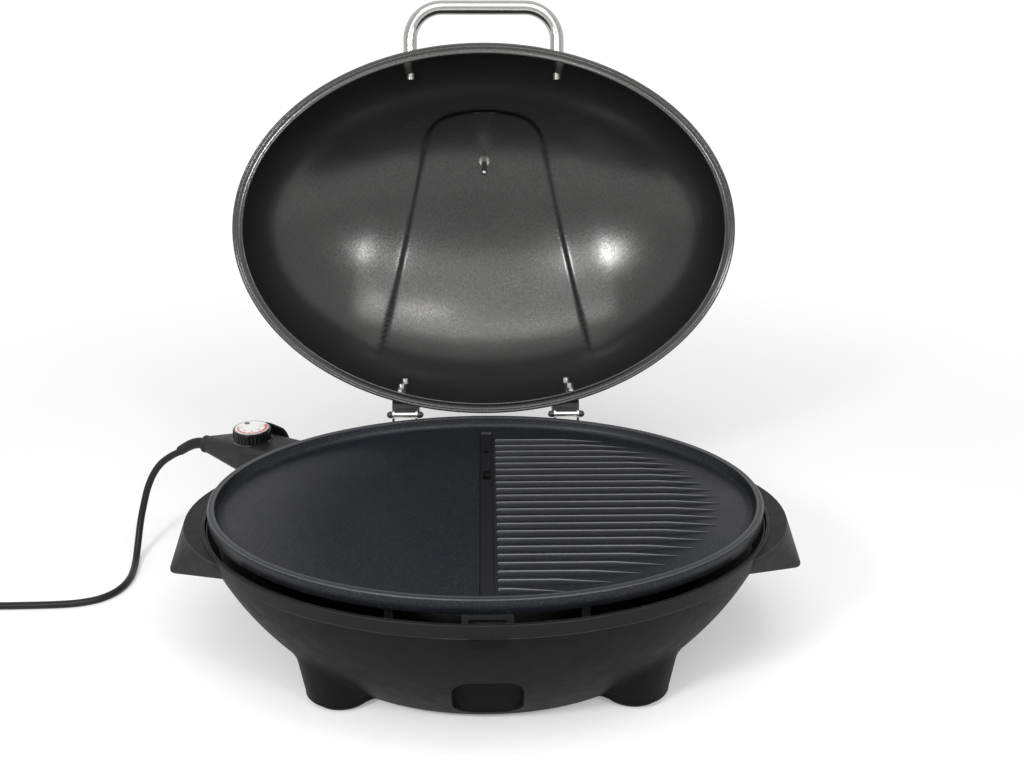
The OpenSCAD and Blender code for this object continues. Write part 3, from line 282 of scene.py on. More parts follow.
# %% [markdown]
# ## Finishes, and the effects that they share
# A finish is more than a colour. Moulded plastic has a fine grain and faint cloudy patches, pressed steel has
# a flake in its enamel, brushed steel has streaks, and every edge that hands meet is rubbed a little lighter.
# Several finishes need the same effect, so each effect is built once as a node group with named sockets, and a
# finish sets its own size and strength. Textures are read in object coordinates, so they move with a piece.

# %% Helpers for finishes
def put(tree, kind, feeds=None, **settings):
    """Adds a shader node; feeds gives values or sockets to its inputs, by name or number."""
    made = tree.nodes.new("ShaderNode" + kind)
    for key, value in settings.items():
        setattr(made, key, value)
    for key, value in (feeds or {}).items():
        if isinstance(value, bpy.types.NodeSocket):
            tree.links.new(value, made.inputs[key])
        else:
            made.inputs[key].default_value = value
    return made

def effect(name, takes, gives):
    """A new node group with named sockets, and its two end nodes."""
    group = bpy.data.node_groups.new(name, "ShaderNodeTree")
    for label, (kind, value) in takes.items():
        group.interface.new_socket(label, in_out="INPUT", socket_type="NodeSocket" + kind).default_value = value
    for label, kind in gives.items():
        group.interface.new_socket(label, in_out="OUTPUT", socket_type="NodeSocket" + kind)
    return group, group.nodes.new("NodeGroupInput"), group.nodes.new("NodeGroupOutput")

def calc(tree, operation, *values, clamp=False):
    return put(tree, "Math", dict(enumerate(values)), operation=operation, use_clamp=clamp).outputs[0]

def remap(tree, value, start=0.0, end=1.0, low=0.0, high=1.0, **settings):
    """Stretches a value that runs from start to end, so that it runs from low to high."""
    feeds = {"Value": value, "From Min": start, "From Max": end, "To Min": low, "To Max": high}
    return put(tree, "MapRange", feeds, **settings).outputs["Result"]

def own_place(tree):
    return put(tree, "TexCoord").outputs["Object"]

print("shader nodes can now be placed and fed in one call")

# %% Moulded grain and slow mottling
grain, takes, gives = effect("moulded_grain", {"Size": ("Float", 0.0005)}, {"Height": "Float"})
place = own_place(grain)
fine = calc(grain, "DIVIDE", 1.0, takes.outputs["Size"])
finer = calc(grain, "MULTIPLY", fine, 1.6)
pits = put(grain, "TexVoronoi", {"Vector": place, "Scale": fine}, feature="SMOOTH_F1").outputs["Distance"]
specks = put(grain, "TexNoise", {"Vector": place, "Scale": finer, "Detail": 2.0}).outputs["Fac"]
grain.links.new(calc(grain, "ADD", pits, specks), gives.inputs["Height"])

mottling, takes, gives = effect(
    "slow_mottling", {"Size": ("Float", 0.03), "Low": ("Float", 0.0), "High": ("Float", 1.0)}, {"Value": "Float"})
broad = calc(mottling, "DIVIDE", 1.0, takes.outputs["Size"])
clouds = put(mottling, "TexNoise", {"Vector": own_place(mottling), "Scale": broad, "Detail": 4.0, "Roughness": 0.6})
ranged = remap(mottling, clouds.outputs["Fac"], 0.32, 0.68, takes.outputs["Low"], takes.outputs["High"])
mottling.links.new(ranged, gives.inputs["Value"])
print("grain and mottling are ready")

# %% Rubbed edges, streaks and flake
edges, takes, gives = effect("rubbed_edges", {"Width": ("Float", 0.0008), "Amount": ("Float", 0.6)}, {"Mask": "Float"})
soft = put(edges, "Bevel", {"Radius": takes.outputs["Width"]}, samples=4).outputs["Normal"]
flat = put(edges, "NewGeometry").outputs["Normal"]
facing = put(edges, "VectorMath", {0: soft, 1: flat}, operation="DOT_PRODUCT").outputs["Value"]
patchy = put(edges, "TexNoise", {"Vector": own_place(edges), "Scale": 140.0, "Detail": 3.0}).outputs["Fac"]
worn = calc(edges, "MULTIPLY", remap(edges, facing, 0.99, 0.86), patchy)
edges.links.new(calc(edges, "MULTIPLY", worn, takes.outputs["Amount"], clamp=True), gives.inputs["Mask"])

streaks, takes, gives = effect(
    "brushed_streaks", {"Stretch": ("Vector", (40, 2500, 2500)), "Low": ("Float", 0.2), "High": ("Float", 0.35)},
    {"Value": "Float"})
drawn = put(streaks, "VectorMath", {0: own_place(streaks), 1: takes.outputs["Stretch"]}, operation="MULTIPLY")
lines = put(streaks, "TexNoise", {"Vector": drawn.outputs["Vector"], "Scale": 1.0, "Detail": 3.0}).outputs["Fac"]
ranged = remap(streaks, lines, 0.3, 0.7, takes.outputs["Low"], takes.outputs["High"])
streaks.links.new(ranged, gives.inputs["Value"])

flake, takes, gives = effect("metal_flake", {"Size": ("Float", 0.0006), "Share": ("Float", 0.15)}, {"Mask": "Float"})
dense = calc(flake, "DIVIDE", 1.0, takes.outputs["Size"])
cells = put(flake, "TexVoronoi", {"Vector": own_place(flake), "Scale": dense}).outputs["Color"]
chance = put(flake, "SeparateColor", {"Color": cells}).outputs["Red"]
flake.links.new(calc(flake, "LESS_THAN", chance, takes.outputs["Share"]), gives.inputs["Mask"])
print("edges, streaks and flake are ready")

# %% [markdown]
# ## Recipes for the finishes
# Three recipes cover the grill. Moulded plastic and rubber take grain, cloudy patches and rubbed edges. Metal takes
# streaks along the way it was brushed or drawn. Coated sheet takes a flake under a thin clear film. Where a mesh
# carries marks, a colour is laid over the recipe's own: painted shade in the lid's creases and in the plate's gutter,
# holes and rib feet, and a painted highlight on the tops of its ribs and the rounding of its rim.
# Each finish is then one line of real values, and the blacks are very dark on purpose: black plastic gives back
# about one part in a hundred of the light by its own colour, and the rest of what shows is gloss.

# %% Recipes
def use(tree, group, **values):
    """Places a shared effect in a finish, with the finish's own values."""
    made = tree.nodes.new("ShaderNodeGroup")
    made.node_tree = group
    for label, value in values.items():
        made.inputs[label].default_value = value
    return made.outputs[0]

finish = {}

def blank(name, **constants):
    """A new finish, kept under its name, with the values that are the same all over it."""
    material = finish[name] = bpy.data.materials.new(name)
    material.use_nodes = True
    into = material.node_tree.nodes["Principled BSDF"].inputs
    for label, value in constants.items():
        into[label.replace("_", " ")].default_value = value
    return material.node_tree, into

def mixed(tree, share, first, second):
    blend = put(tree, "Mix", {0: share}, data_type="RGBA")
    for socket, colour in ((blend.inputs[6], first), (blend.inputs[7], second)):
        if isinstance(colour, bpy.types.NodeSocket):
            tree.links.new(colour, socket)
        else:
            socket.default_value = (*colour, 1)
    return blend.outputs[2]

def bump(tree, into, height, depth, strength=1.0):
    """Presses a height into the surface, to a depth in metres."""
    pressed = put(tree, "Bump", {"Height": height, "Distance": depth, "Strength": strength})
    tree.links.new(pressed.outputs["Normal"], into["Normal"])

print("recipes start from a plain shader and", len(bpy.data.node_groups), "shared effects")

# %% Recipe for plastic and rubber
def moulded(name, colour, cloudy, rubbed, rough, grain_size=0.0005, depth=0.00004, edge=0.5, **constants):
    """A colour, cloudier in patches and lighter on rubbed edges, with a range of roughness and a moulded grain."""
    tree, into = blank(name, **constants)
    tint = mixed(tree, use(tree, mottling, Size=0.035), colour, cloudy)
    tree.links.new(mixed(tree, use(tree, edges, Width=0.0009, Amount=edge), tint, rubbed), into["Base Color"])
    tree.links.new(use(tree, mottling, Size=0.012, Low=rough[0], High=rough[1]), into["Roughness"])
    bump(tree, into, use(tree, grain, Size=grain_size), depth)

# name, colour, cloudy patches, rubbed edges, then roughness from and to, size and depth of the grain, wear of edges
moulded("base_plastic", (0.0055, 0.0055, 0.0057), (0.0066, 0.0066, 0.0068), (0.03, 0.03, 0.031),
        (0.46, 0.56), 0.0006, 0.00005, Specular_IOR_Level=0.065)
moulded("guard_plastic", (0.0053, 0.0053, 0.0055), (0.0064, 0.0064, 0.0066), (0.028, 0.028, 0.029),
        (0.48, 0.6), 0.0006, 0.00005, Specular_IOR_Level=0.065)
moulded("rim_plastic", (0.0058, 0.0058, 0.006), (0.007, 0.007, 0.0072), (0.16, 0.16, 0.165),
        (0.42, 0.52), 0.0006, 0.00004, 1.0, Specular_IOR_Level=0.16)
moulded("foot_rubber", (0.012, 0.012, 0.012), (0.02, 0.02, 0.02), (0.04, 0.04, 0.04),
        (0.78, 0.9), 0.001, 0.00008, 0.3)
moulded("control_plastic", (0.0095, 0.0095, 0.0098), (0.0125, 0.0125, 0.0128), (0.06, 0.06, 0.06),
        (0.42, 0.52), 0.00045, 0.00004, 0.8, Specular_IOR_Level=0.3)
moulded("relief_rubber", (0.008, 0.008, 0.0079), (0.011, 0.011, 0.0108), (0.035, 0.035, 0.035),
        (0.45, 0.58), 0.0008, 0.00004, Specular_IOR_Level=0.25)
moulded("cord_black", (0.009, 0.0088, 0.0084), (0.013, 0.0128, 0.0122), (0.04, 0.04, 0.04),
        (0.38, 0.48), 0.0009, 0.00003, 0.2, Specular_IOR_Level=0.25)
moulded("plug_black", (0.018, 0.018, 0.019), (0.024, 0.024, 0.025), (0.07, 0.07, 0.07),
        (0.42, 0.52), 0.0006, 0.00004)
moulded("cap_black", (0.02, 0.02, 0.021), (0.026, 0.026, 0.027), (0.09, 0.09, 0.09),
        (0.34, 0.44), 0.0005, 0.00002)
moulded("knob_gloss", (0.005, 0.005, 0.0052), (0.007, 0.007, 0.0072), (0.05, 0.05, 0.05),
        (0.2, 0.3), 0.0004, 0.000005, 0.3, Specular_IOR_Level=0.2, Coat_Weight=0.05, Coat_Roughness=0.1)
moulded("ring_gloss", (0.012, 0.012, 0.013), (0.015, 0.015, 0.016), (0.05, 0.05, 0.05),
        (0.1, 0.18), 0.0004, 0.000004, 0.3, Coat_Weight=0.6, Coat_Roughness=0.05)
moulded("dial_print", (0.74, 0.74, 0.73), (0.8, 0.8, 0.79), (0.85, 0.85, 0.84),
        (0.22, 0.3), 0.0005, 0.000006, 0.2)
moulded("gauge_white", (0.78, 0.78, 0.76), (0.83, 0.83, 0.81), (0.86, 0.86, 0.85),
        (0.4, 0.5), 0.0005, 0.000006, 0.2)
moulded("needle_red", (0.55, 0.03, 0.02), (0.62, 0.04, 0.03), (0.7, 0.12, 0.1),
        (0.35, 0.45), 0.0006, 0.00001, 0.3)
moulded("ceramic", (0.62, 0.58, 0.5), (0.7, 0.66, 0.58), (0.78, 0.74, 0.66),
        (0.5, 0.65), 0.0008, 0.00005, 0.4)
print("plastics:", len(bpy.data.materials), "materials so far")

# %% Recipe for metal
def metal(name, colour, dull, rough, stretch=(60, 2500, 2500), depth=0.000004):
    """A colour and that of its dull streaks, a range of roughness, and how finely it is streaked each way."""
    tree, into = blank(name, Metallic=1.0)
    streaky = use(tree, streaks, Stretch=stretch, Low=0.0, High=1.0)
    tree.links.new(mixed(tree, streaky, colour, dull), into["Base Color"])
    drawn = use(tree, streaks, Stretch=stretch, Low=rough[0], High=rough[1])
    smeared = use(tree, mottling, Size=0.02, Low=-0.03, High=0.05)
    tree.links.new(calc(tree, "ADD", drawn, smeared, clamp=True), into["Roughness"])
    bump(tree, into, drawn, depth, 0.6)

ALONG_X, ALONG_Y, ALONG_Z = (90, 2200, 2200), (2200, 90, 2200), (2200, 2200, 90)     # ways of fine brushing
metal("handle_steel", (0.54, 0.53, 0.515), (0.4, 0.39, 0.38), (0.08, 0.16), (50, 1800, 1800))
# the zinc's own dull tone, darkened further as painted shade on the screw shanks, so that only their tips shine
metal("screw_zinc", (0.3, 0.29, 0.27), (0.2, 0.19, 0.175), (0.3, 0.42), ALONG_Z)
metal("hinge_steel", (0.7, 0.69, 0.67), (0.5, 0.49, 0.47), (0.16, 0.28), (300, 2600, 2600))
metal("gauge_steel", (0.74, 0.73, 0.71), (0.6, 0.59, 0.57), (0.14, 0.24), ALONG_Y)
metal("stem_steel", (0.42, 0.4, 0.37), (0.24, 0.225, 0.2), (0.1, 0.2), ALONG_X)
metal("probe_steel", (0.66, 0.65, 0.63), (0.5, 0.49, 0.47), (0.22, 0.34), ALONG_X)
metal("post_steel", (0.68, 0.67, 0.65), (0.5, 0.49, 0.47), (0.2, 0.32), ALONG_Z)
metal("shaft_steel", (0.62, 0.61, 0.59), (0.5, 0.49, 0.47), (0.25, 0.36), ALONG_Z)
metal("pin_steel", (0.66, 0.65, 0.62), (0.5, 0.49, 0.46), (0.2, 0.32))
metal("plug_metal", (0.7, 0.66, 0.58), (0.6, 0.56, 0.48), (0.18, 0.3))
metal("contact_brass", (0.75, 0.56, 0.26), (0.6, 0.43, 0.18), (0.22, 0.36))
metal("reflector_steel", (0.07, 0.068, 0.066), (0.045, 0.044, 0.043), (0.34, 0.5), (30, 1500, 1500))
metal("tray_aluminium", (0.66, 0.66, 0.66), (0.55, 0.55, 0.55), (0.3, 0.42), (40, 1500, 1500))
# darker than the sheath's own dull steel: painted shade for what shows through the drain hole
metal("element_steel", (0.08, 0.075, 0.072), (0.05, 0.045, 0.043), (0.4, 0.56), (500, 500, 500))
print("with the metals:", len(bpy.data.materials), "materials")

# %% Recipe for coated sheet
def coated(name, colour, cloudy, glint, rough, flake_size, share, metallic, depth=0.00002, **constants):
    """A colour with cloudy patches and glints, a range of roughness, and the flakes' size, share and metallic range."""
    tree, into = blank(name, **constants)
    tint = mixed(tree, use(tree, mottling, Size=0.05), colour, cloudy)
    sparks = use(tree, flake, Size=flake_size, Share=share)
    tree.links.new(mixed(tree, sparks, tint, glint), into["Base Color"])
    tree.links.new(remap(tree, sparks, low=metallic[0], high=metallic[1]), into["Metallic"])
    tree.links.new(use(tree, mottling, Size=0.03, Low=rough[0], High=rough[1]), into["Roughness"])
    bump(tree, into, use(tree, grain, Size=flake_size * 0.8), depth)

coated("rest_enamel", (0.02, 0.02, 0.02), (0.026, 0.026, 0.026), (0.06, 0.06, 0.06),
        (0.35, 0.45), 0.0008, 0.1, (0.0, 0.3))
coated("lid_enamel", (0.054, 0.0535, 0.0525), (0.062, 0.0615, 0.06), (0.1, 0.099, 0.097),
        (0.215, 0.245), 0.00045, 0.25, (0.68, 0.95), 0.000004)
coated("plate_coating", (0.0058, 0.0066, 0.0092), (0.0074, 0.0082, 0.0112), (0.05, 0.053, 0.064),
        (0.36, 0.43), 0.0005, 0.08, (0.0, 0.35), 0.000008, Specular_IOR_Level=0.27)
def lay_over(name, mark, colour, dull=False):
    """Mixes a colour over a finish where the mesh carries a mark, and takes away the gloss there if asked."""
    tree = finish[name].node_tree
    into = tree.nodes["Principled BSDF"].inputs
    tint, rough = into["Base Color"], into["Roughness"]
    share = put(tree, "Attribute", attribute_name=mark).outputs["Fac"]
    tree.links.new(mixed(tree, share, tint.links[0].from_socket, colour), tint)
    if dull:
        tree.links.new(calc(tree, "MAXIMUM", share, rough.links[0].from_socket), rough)

# painted shade in the lid's creases and in the plate's gutter, holes and rib feet; painted highlight on the plate's rib
# tops and rim
lay_over("lid_enamel", "painted_shade", (0.012, 0.012, 0.012))
lay_over("plate_coating", "painted_highlight", (0.27, 0.275, 0.285))
lay_over("plate_coating", "painted_shade", (0.0012, 0.0012, 0.0012), dull=True)
print("all:", len(bpy.data.materials), "materials")

# %% Lid enamel on the pressing
fit_piece(pressing, "lid", "lid_enamel", finish["lid_enamel"], "lid_shell", "lid_skirt", "lid_rim", "lid_arch")
print("lid pressing stands for four nodes")

# %% [markdown]
# ## The cooking plate
# The plate is cast aluminium with a black coating: an oval tray with a soft rim, a flat half, a gutter with a ridge
# down the middle, a drain hole, and ribs that run out to points where the floor meets the rim. Its rim and
# sides are a loft of oval rings. Its floor is one triangulated sheet with the gutter and the holes as fixed lines,
# which keeps their edges exact, and each rib is a rounded bar that narrows and sinks into its tip.
# A painted highlight lies on the tops of the ribs and the rounding of the rim, and a painted shade in the gutter,
# in the holes and at the feet of the ribs. Those points are marked for the finish to read.

# %% Rim and sides of the plate
PLATE_TOP, FLOOR, UNDER = 150.0, 141.0, 137.0      # levels of the rim, the floor and the underside
HALF, INNER = 240.0, 234.0                         # half width outside and inside the rim
OUT_SHARE, IN_SHARE = 346 / 480, 334 / 468         # depth over width, outside and inside
FLAT_EDGE, UNDER_EDGE = INNER - 9, 0.96 * HALF     # where the floor starts to rise, and where the underside ends
ROUND = 240                                        # points of each oval ring

def oval(half, depth_share, z):
    """Ring of an oval whose depth follows its width by the given share."""
    return [(half * cos(t), half * depth_share * sin(t), z) for t in full_turn(ROUND)]

def bend(a, b, c, u):
    """The point at u, from 0 to 1, on a curve from a to c that is pulled towards b."""
    return tuple((1 - u) ** 2 * a[i] + 2 * u * (1 - u) * b[i] + u * u * c[i] for i in (0, 1))

def settle(a, b, c, steps):
    return [bend(a, b, c, k / steps) for k in range(steps + 1)]

outside = [(HALF - 1.6, UNDER), (HALF - 0.6, UNDER + 1)] + arc(HALF - 2.4, PLATE_TOP - 2.4, 2.4, 0, 90, 7)
inside = (settle((INNER + 0.6, PLATE_TOP), (INNER - 0.5, PLATE_TOP), (INNER - 0.8, PLATE_TOP - 1.3), 6)
          + settle((INNER - 2.6, FLOOR + 3.5), (INNER - 4, FLOOR + 0.6), (FLAT_EDGE, FLOOR), 8))
plate_rings = [oval(UNDER_EDGE, OUT_SHARE, UNDER)] + [oval(r, OUT_SHARE, z) for r, z in outside]
plate_rings += [oval(r, IN_SHARE, z) for r, z in inside]
print("plate rim has", len(plate_rings), "rings")

# %% Floor of the plate
from mathutils.geometry import delaunay_2d_cdt

def box_loop(x0, y0, x1, y1, r):
    """Outline of a box with rounded corners."""
    corners = [(x1 - r, y1 - r, 0), (x0 + r, y1 - r, 90), (x0 + r, y0 + r, 180), (x1 - r, y0 + r, 270)]
    return [p for cx, cy, a in corners for p in arc(cx, cy, r, a, a + 90, 4)]

def holds(loop, x, y):
    """Whether a point lies inside a loop: a line from it then crosses the loop an odd number of times."""
    odd = False
    for a, b in zip(loop, loop[1:] + loop[:1]):
        if (a[1] > y) != (b[1] > y) and x < (b[0] - a[0]) * (y - a[1]) / (b[1] - a[1]) + a[0]:
            odd = not odd
    return odd

def flat_sheet(loops, drop_inside):
    """Triangles between closed loops; the holes among them, by number, are left open."""
    verts, edges = [], []
    for loop in loops:
        first = len(verts)
        verts += [Vector(p[:2]) for p in loop]
        edges += [(first + k, first + (k + 1) % len(loop)) for k in range(len(loop))]
    points, _, faces, origin, _, _ = delaunay_2d_cdt(verts, edges, [], 1, 1e-4)
    ends = [sum(map(len, loops[:i + 1])) for i in range(len(loops))]
    belongs = [next(i for i, end in enumerate(ends) if end > o[0]) for o in origin]
    kept = []
    for face in faces:
        x, y = (sum(points[v][i] for v in face) / 3 for i in (0, 1))
        if not any(holds(loops[i], x, y) for i in drop_inside):
            kept.append(face)
    return points, kept, belongs

gutter_top = box_loop(-6.2, -157, 6.2, 151, 2.5)
gutter_low = box_loop(-5.3, -156, 5.3, 150, 1.8)
drain = box_loop(-3.2, 50.5, 4.2, 67.5, 0.8)
pin_hole = [(0.3 + 3 * cos(t), 110 + 3 * sin(t)) for t in full_turn(20)]
edge = oval(FLAT_EDGE, IN_SHARE, FLOOR)
GUTTER = FLOOR - 1.8
points, faces, belongs = flat_sheet([edge, gutter_top, gutter_low, drain, pin_hole], (3, 4))
levels = [FLOOR, FLOOR, GUTTER, GUTTER, GUTTER]     # one for each loop
floor_verts = [(p.x, p.y, levels[b]) for p, b in zip(points, belongs)]
print("plate floor has", len(faces), "triangles")

# %% Ribs of the plate
RIB_ROWS = [-147 + 13 * k for k in range(22)]     # where the ribs lie, from front to back
RIB_TALL, RIB_HALF, RIB_START, RIB_TAPER = 3.4, 2.7, 8.2, 42.0     # height, half width, start beside the gutter, taper

def rib_bar(y):
    """A rounded bar from the gutter to a point near the edge of the floor."""
    reach = FLAT_EDGE * sqrt(1 - ((abs(y) + 2.6) / (FLAT_EDGE * IN_SHARE)) ** 2) - 22.0
    start, full, narrows = RIB_START, RIB_START + 1.2, reach - RIB_TAPER     # where it begins, is full, and narrows
    stations = [start, start + 0.35, full] + [full + (narrows - full) * k / 3 for k in (1, 2, 3)]
    stations += [narrows + RIB_TAPER * k / 8 for k in range(1, 9)]
    rings = []
    for x in stations:
        share = min(1.0, max(0.04, (reach - x) / RIB_TAPER))
        tall = RIB_TALL * share ** 0.8 * (0.35 if x == start else 0.8 if x < start + 0.5 else 1.0)
        wide = RIB_HALF * share ** 0.7
        side = [(wide, -0.3), (wide * 0.92, 0.1), (wide * 0.58, tall * 0.6), (wide * 0.36, tall * 0.9),
                (wide * 0.16, tall)]
        profile = [(-across, up) for across, up in side] + side[::-1]
        rings.append([(x, y + across, FLOOR + up) for across, up in profile])
    return rings

def add_strip(verts, faces, rings, ends=False):
    """Adds a closed loft over rings to lists of points and faces, with flat ends if asked."""
    n, first = len(rings[0]), len(verts)
    verts += [tuple(p) for ring in rings for p in ring]
    for i in range(len(rings) - 1):
        for k in range(n):
            a, b = first + i * n + k, first + i * n + (k + 1) % n
            faces.append((a, b, b + n, a + n))
    if ends:
        faces.append(tuple(first + k for k in range(n))[::-1])
        faces.append(tuple(first + (len(rings) - 1) * n + k for k in range(n)))

print(len(RIB_ROWS), "ribs, the longest to", round(rib_bar(RIB_ROWS[11])[-1][0][0]), "mm from the middle")

# %% Plate put together, with its marks
verts, skins, painted_highlight, painted_shade = [], [], {}, {}
add_strip(verts, skins, plate_rings)
# painted highlight on the rounding of the rim
for k in (7, 8, 9, 11, 12, 13):      # the rings on the rounding outside and inside the top of the rim
    painted_highlight.update({ROUND * k + i: 0.2 for i in range(ROUND)})
first = len(verts)
for ring in (drain, pin_hole):
    add_strip(verts, skins, [[(*p, UNDER) for p in ring], [(*p, GUTTER) for p in ring]])
# painted shade on the walls of the drain and pin holes
painted_shade.update({k: 1.0 for k in range(first, len(verts))})
first = len(verts)
verts += floor_verts
# painted shade over the floor of the gutter
painted_shade.update({first + k: 0.55 for k, p in enumerate(floor_verts) if p[2] < FLOOR})
skins += [tuple(first + v for v in face) for face in faces]
under_points, under_faces, _ = flat_sheet([oval(UNDER_EDGE, OUT_SHARE, UNDER), drain, pin_hole], (1, 2))
first = len(verts)
verts += [(p.x, p.y, UNDER) for p in under_points]
skins += [tuple(first + v for v in face)[::-1] for face in under_faces]
for row in RIB_ROWS:
    bar, first = rib_bar(row)[::-1], len(verts)
    add_strip(verts, skins, bar, True)
    for i in range(len(bar)):        # ten points across a rib: its front foot comes first, its top in the middle
        # painted highlight along each rib's top, painted shade at its front foot
        painted_highlight.update({first + 10 * i + j: much for j, much in ((4, 0.6), (5, 1.0), (6, 0.35))})
        painted_shade.update({first + 10 * i + j: 0.6 for j in (0, 1, 2)})
run = FLAT_EDGE * IN_SHARE - 4
ridge = [(-7.7, -0.2), (-7.55, 0.6), (-7.2, 0.85), (-6.7, 0.85), (-6.35, 0.6), (-6.2, -0.2)]
ridge_rings = [[(x, y, FLOOR + up) for x, up in ridge] for y in (run, run - 0.6, 0, -run + 0.6, -run)]
add_strip(verts, skins, ridge_rings, True)
print("plate has", len(skins), "faces with its ribs")

# %% Boss of the plate
DIAL = Vector((-228, 145, 124))       # the dial's axis, at the level of the probe
SKEW = radians(22)                    # turn of the plug-in control away from the oval's long axis
IN_WAY, ACROSS = Vector((cos(SKEW), -sin(SKEW), 0)), Vector((sin(SKEW), cos(SKEW), 0))

def beside_dial(s, w, z):
    """A point of the control: s along its probe from the dial's axis, w across it, in millimetres."""
    p = DIAL + IN_WAY * s + ACROSS * w
    return (p.x, p.y, z)

def tube_ring(s, radius):
    return [beside_dial(s, radius * cos(t), DIAL.z + radius * sin(t)) for t in full_turn(28)]

boss = [tube_ring(s, r) for s, r in ((93, 3.3), (92, 3.6), (92, 7.5), (92.5, 8), (147.5, 8), (148, 7.5), (148, 0.1))]
add_strip(verts, skins, [tube_ring(140, 0.1), tube_ring(140, 3.3)] + boss)
web = [[beside_dial(s, w, z) for s, w in ((93, -5), (147.5, -5), (147.5, 5), (93, 5))] for z in (128, 137)]
add_strip(verts, skins, web)

plate = new_mesh("cooking_plate", [Vector(p) / 1000 for p in verts], skins)
for label, marked in (("painted_highlight", painted_highlight), ("painted_shade", painted_shade)):
    mark_points(plate, label, [marked.get(k, 0.0) for k in range(len(verts))])
plate.data.set_sharp_from_angle(angle=radians(38))
fit_piece(plate, "base", "plate_coating", finish["plate_coating"], "grill_plate")
print("cooking plate:", len(plate.data.polygons), "faces")

# %% [markdown]
# ## The bowl of the base
# The bowl is one moulding: an oval belly, four feet that grow out of it in soft fillets, a finger recess in the front
# and a notch for the plug-in control. Every level of it is star-shaped about the middle, so it can be written as
# a distance from the middle for each direction. The larger of belly and foot is taken, rounded over where they are
# close, and that rounding is the fillet. The recess pushes points back to an upright wall. Points that lie nearer to
# its outline than about half the gap to their neighbours are slid onto it, so that the edge stays clean, and the
# skin is woven more finely there.

# %% Shape of the bowl
FLAT, WALL = 6.0, 3.0       # height of the belly's underside, and thickness of the moulding
SHARE = 366 / 492           # depth over width
FILLET = 4.5
FEET = ((124, 76), (-124, 76), (124, -76), (-124, -76))

def belly(u):
    """Half width and height of the belly's side, from the floor to the band."""
    return bend((157, 6), (217, 54), (243.5, 122), u)

def level(half, z, turns):
    """Distance of the skin from the middle for every direction, feet blended in."""
    c, s = np.cos(turns), np.sin(turns)
    r = 1 / np.sqrt((c / half) ** 2 + (s / (half * SHARE)) ** 2)
    foot = 31.15 + 12 * max(z - 8, 0) / 74     # a foot's radius, which grows upwards
    for fx, fy in FEET:
        along, across = c * fx + s * fy, c * fy - s * fx
        left = foot ** 2 - across ** 2
        reach = np.where(along > 0, along + np.sign(left) * np.sqrt(abs(left)), -500)
        near = np.clip(0.5 + 0.5 * (reach - r) / FILLET, 0, 1)
        r = r * (1 - near) + reach * near + FILLET * near * (1 - near)
    return r

RECESS_ROUND, RECESS_X, RECESS_Z, RECESS_MIDDLE = 17, 12, 10.5, 39     # corner radius, flats beside it, level

def recess_depth(x, z):
    """Distance inside the recess's outline, a box of 58 by 55 mm with round corners."""
    dx, dz = np.abs(x) - RECESS_X, np.abs(z - RECESS_MIDDLE) - RECESS_Z
    return RECESS_ROUND - np.where((dx > 0) & (dz > 0), np.hypot(dx, dz), np.maximum(dx, dz))

FRONT = -pi / 2
even_turns = {round(t, 6) for t in full_turn(480)}
front_turns = {round((FRONT + 0.0022 * k) % (2 * pi), 6) for k in range(-100, 101)}
turns = np.array(sorted(even_turns | front_turns))
coarse = [belly(k / 78) for k in range(79)]
heights = [belly(k / 156) for k in range(157) if k % 2 == 0 or belly(k / 156)[1] < 74]     # finer round the recess
print("bowl has", len(heights), "levels of", len(turns), "points")

# %% Skins of the bowl
RECESS_SLOPE = 2.2              # how far inside its outline the recess reaches its wall
NEAR_X, NEAR_Z = 0.22, 0.4      # about half the gap between points there, sideways and upwards

def bowl_ring(half, z, inset=0.0):
    """One level of the bowl's skin, with the recess pushed in."""
    r = level(half, z, turns) - inset
    x, y = r * np.cos(turns), r * np.sin(turns)
    z = np.full_like(x, z)
    facing = y < -60
    for _ in range(2):    # slide near points onto the recess's edge and onto the foot of its wall
        for edge_at in (0.0, RECESS_SLOPE):
            d = recess_depth(x, z)
            gx = (recess_depth(x + 0.1, z) - recess_depth(x - 0.1, z)) / 0.2
            gz = (recess_depth(x, z + 0.1) - recess_depth(x, z - 0.1)) / 0.2
            step = np.where(facing & (abs(d - edge_at) < NEAR_X * abs(gx) + NEAR_Z * abs(gz)), edge_at - d, 0)
            x, z = x + gx * step, z + gz * step
    d = recess_depth(x, z)
    back = -(121 + 0.22 * (z - 10)) + inset     # the recess's wall, which leans out a little
    share = np.clip(d / RECESS_SLOPE, 0, 1)
    y = np.where(facing, y + np.maximum(back - y, 0) * share, y)
    return np.stack([x, y, z], 1)

outer = [bowl_ring(half, z) for half, z in heights]
inner = [bowl_ring(half - 1.0, max(z, FLAT + WALL), WALL) for half, z in coarse if z > FLAT + WALL]

def shrunk(ring, z, shares):
    """Smaller copies of a ring on one level, which make a floor."""
    return [np.stack([k * ring[:, 0], k * ring[:, 1], np.full(len(turns), z)], 1) for k in shares]

steps = (0.02, 0.35, 0.7, 0.97)
skin_rings = shrunk(outer[0], FLAT, steps) + outer + inner[::-1] + shrunk(inner[0], FLAT + WALL, steps[::-1])
verts, skins = [], []
add_strip(verts, skins, skin_rings, True)

def in_notch(p):
    """Whether a point lies where the plug-in control passes through the wall."""
    off = Vector((p[0], p[1], 0)) - Vector((DIAL.x, DIAL.y, 0))
    return 32 < off.dot(IN_WAY) < 104 and abs(off.dot(ACROSS)) < 24 and p[2] > 108

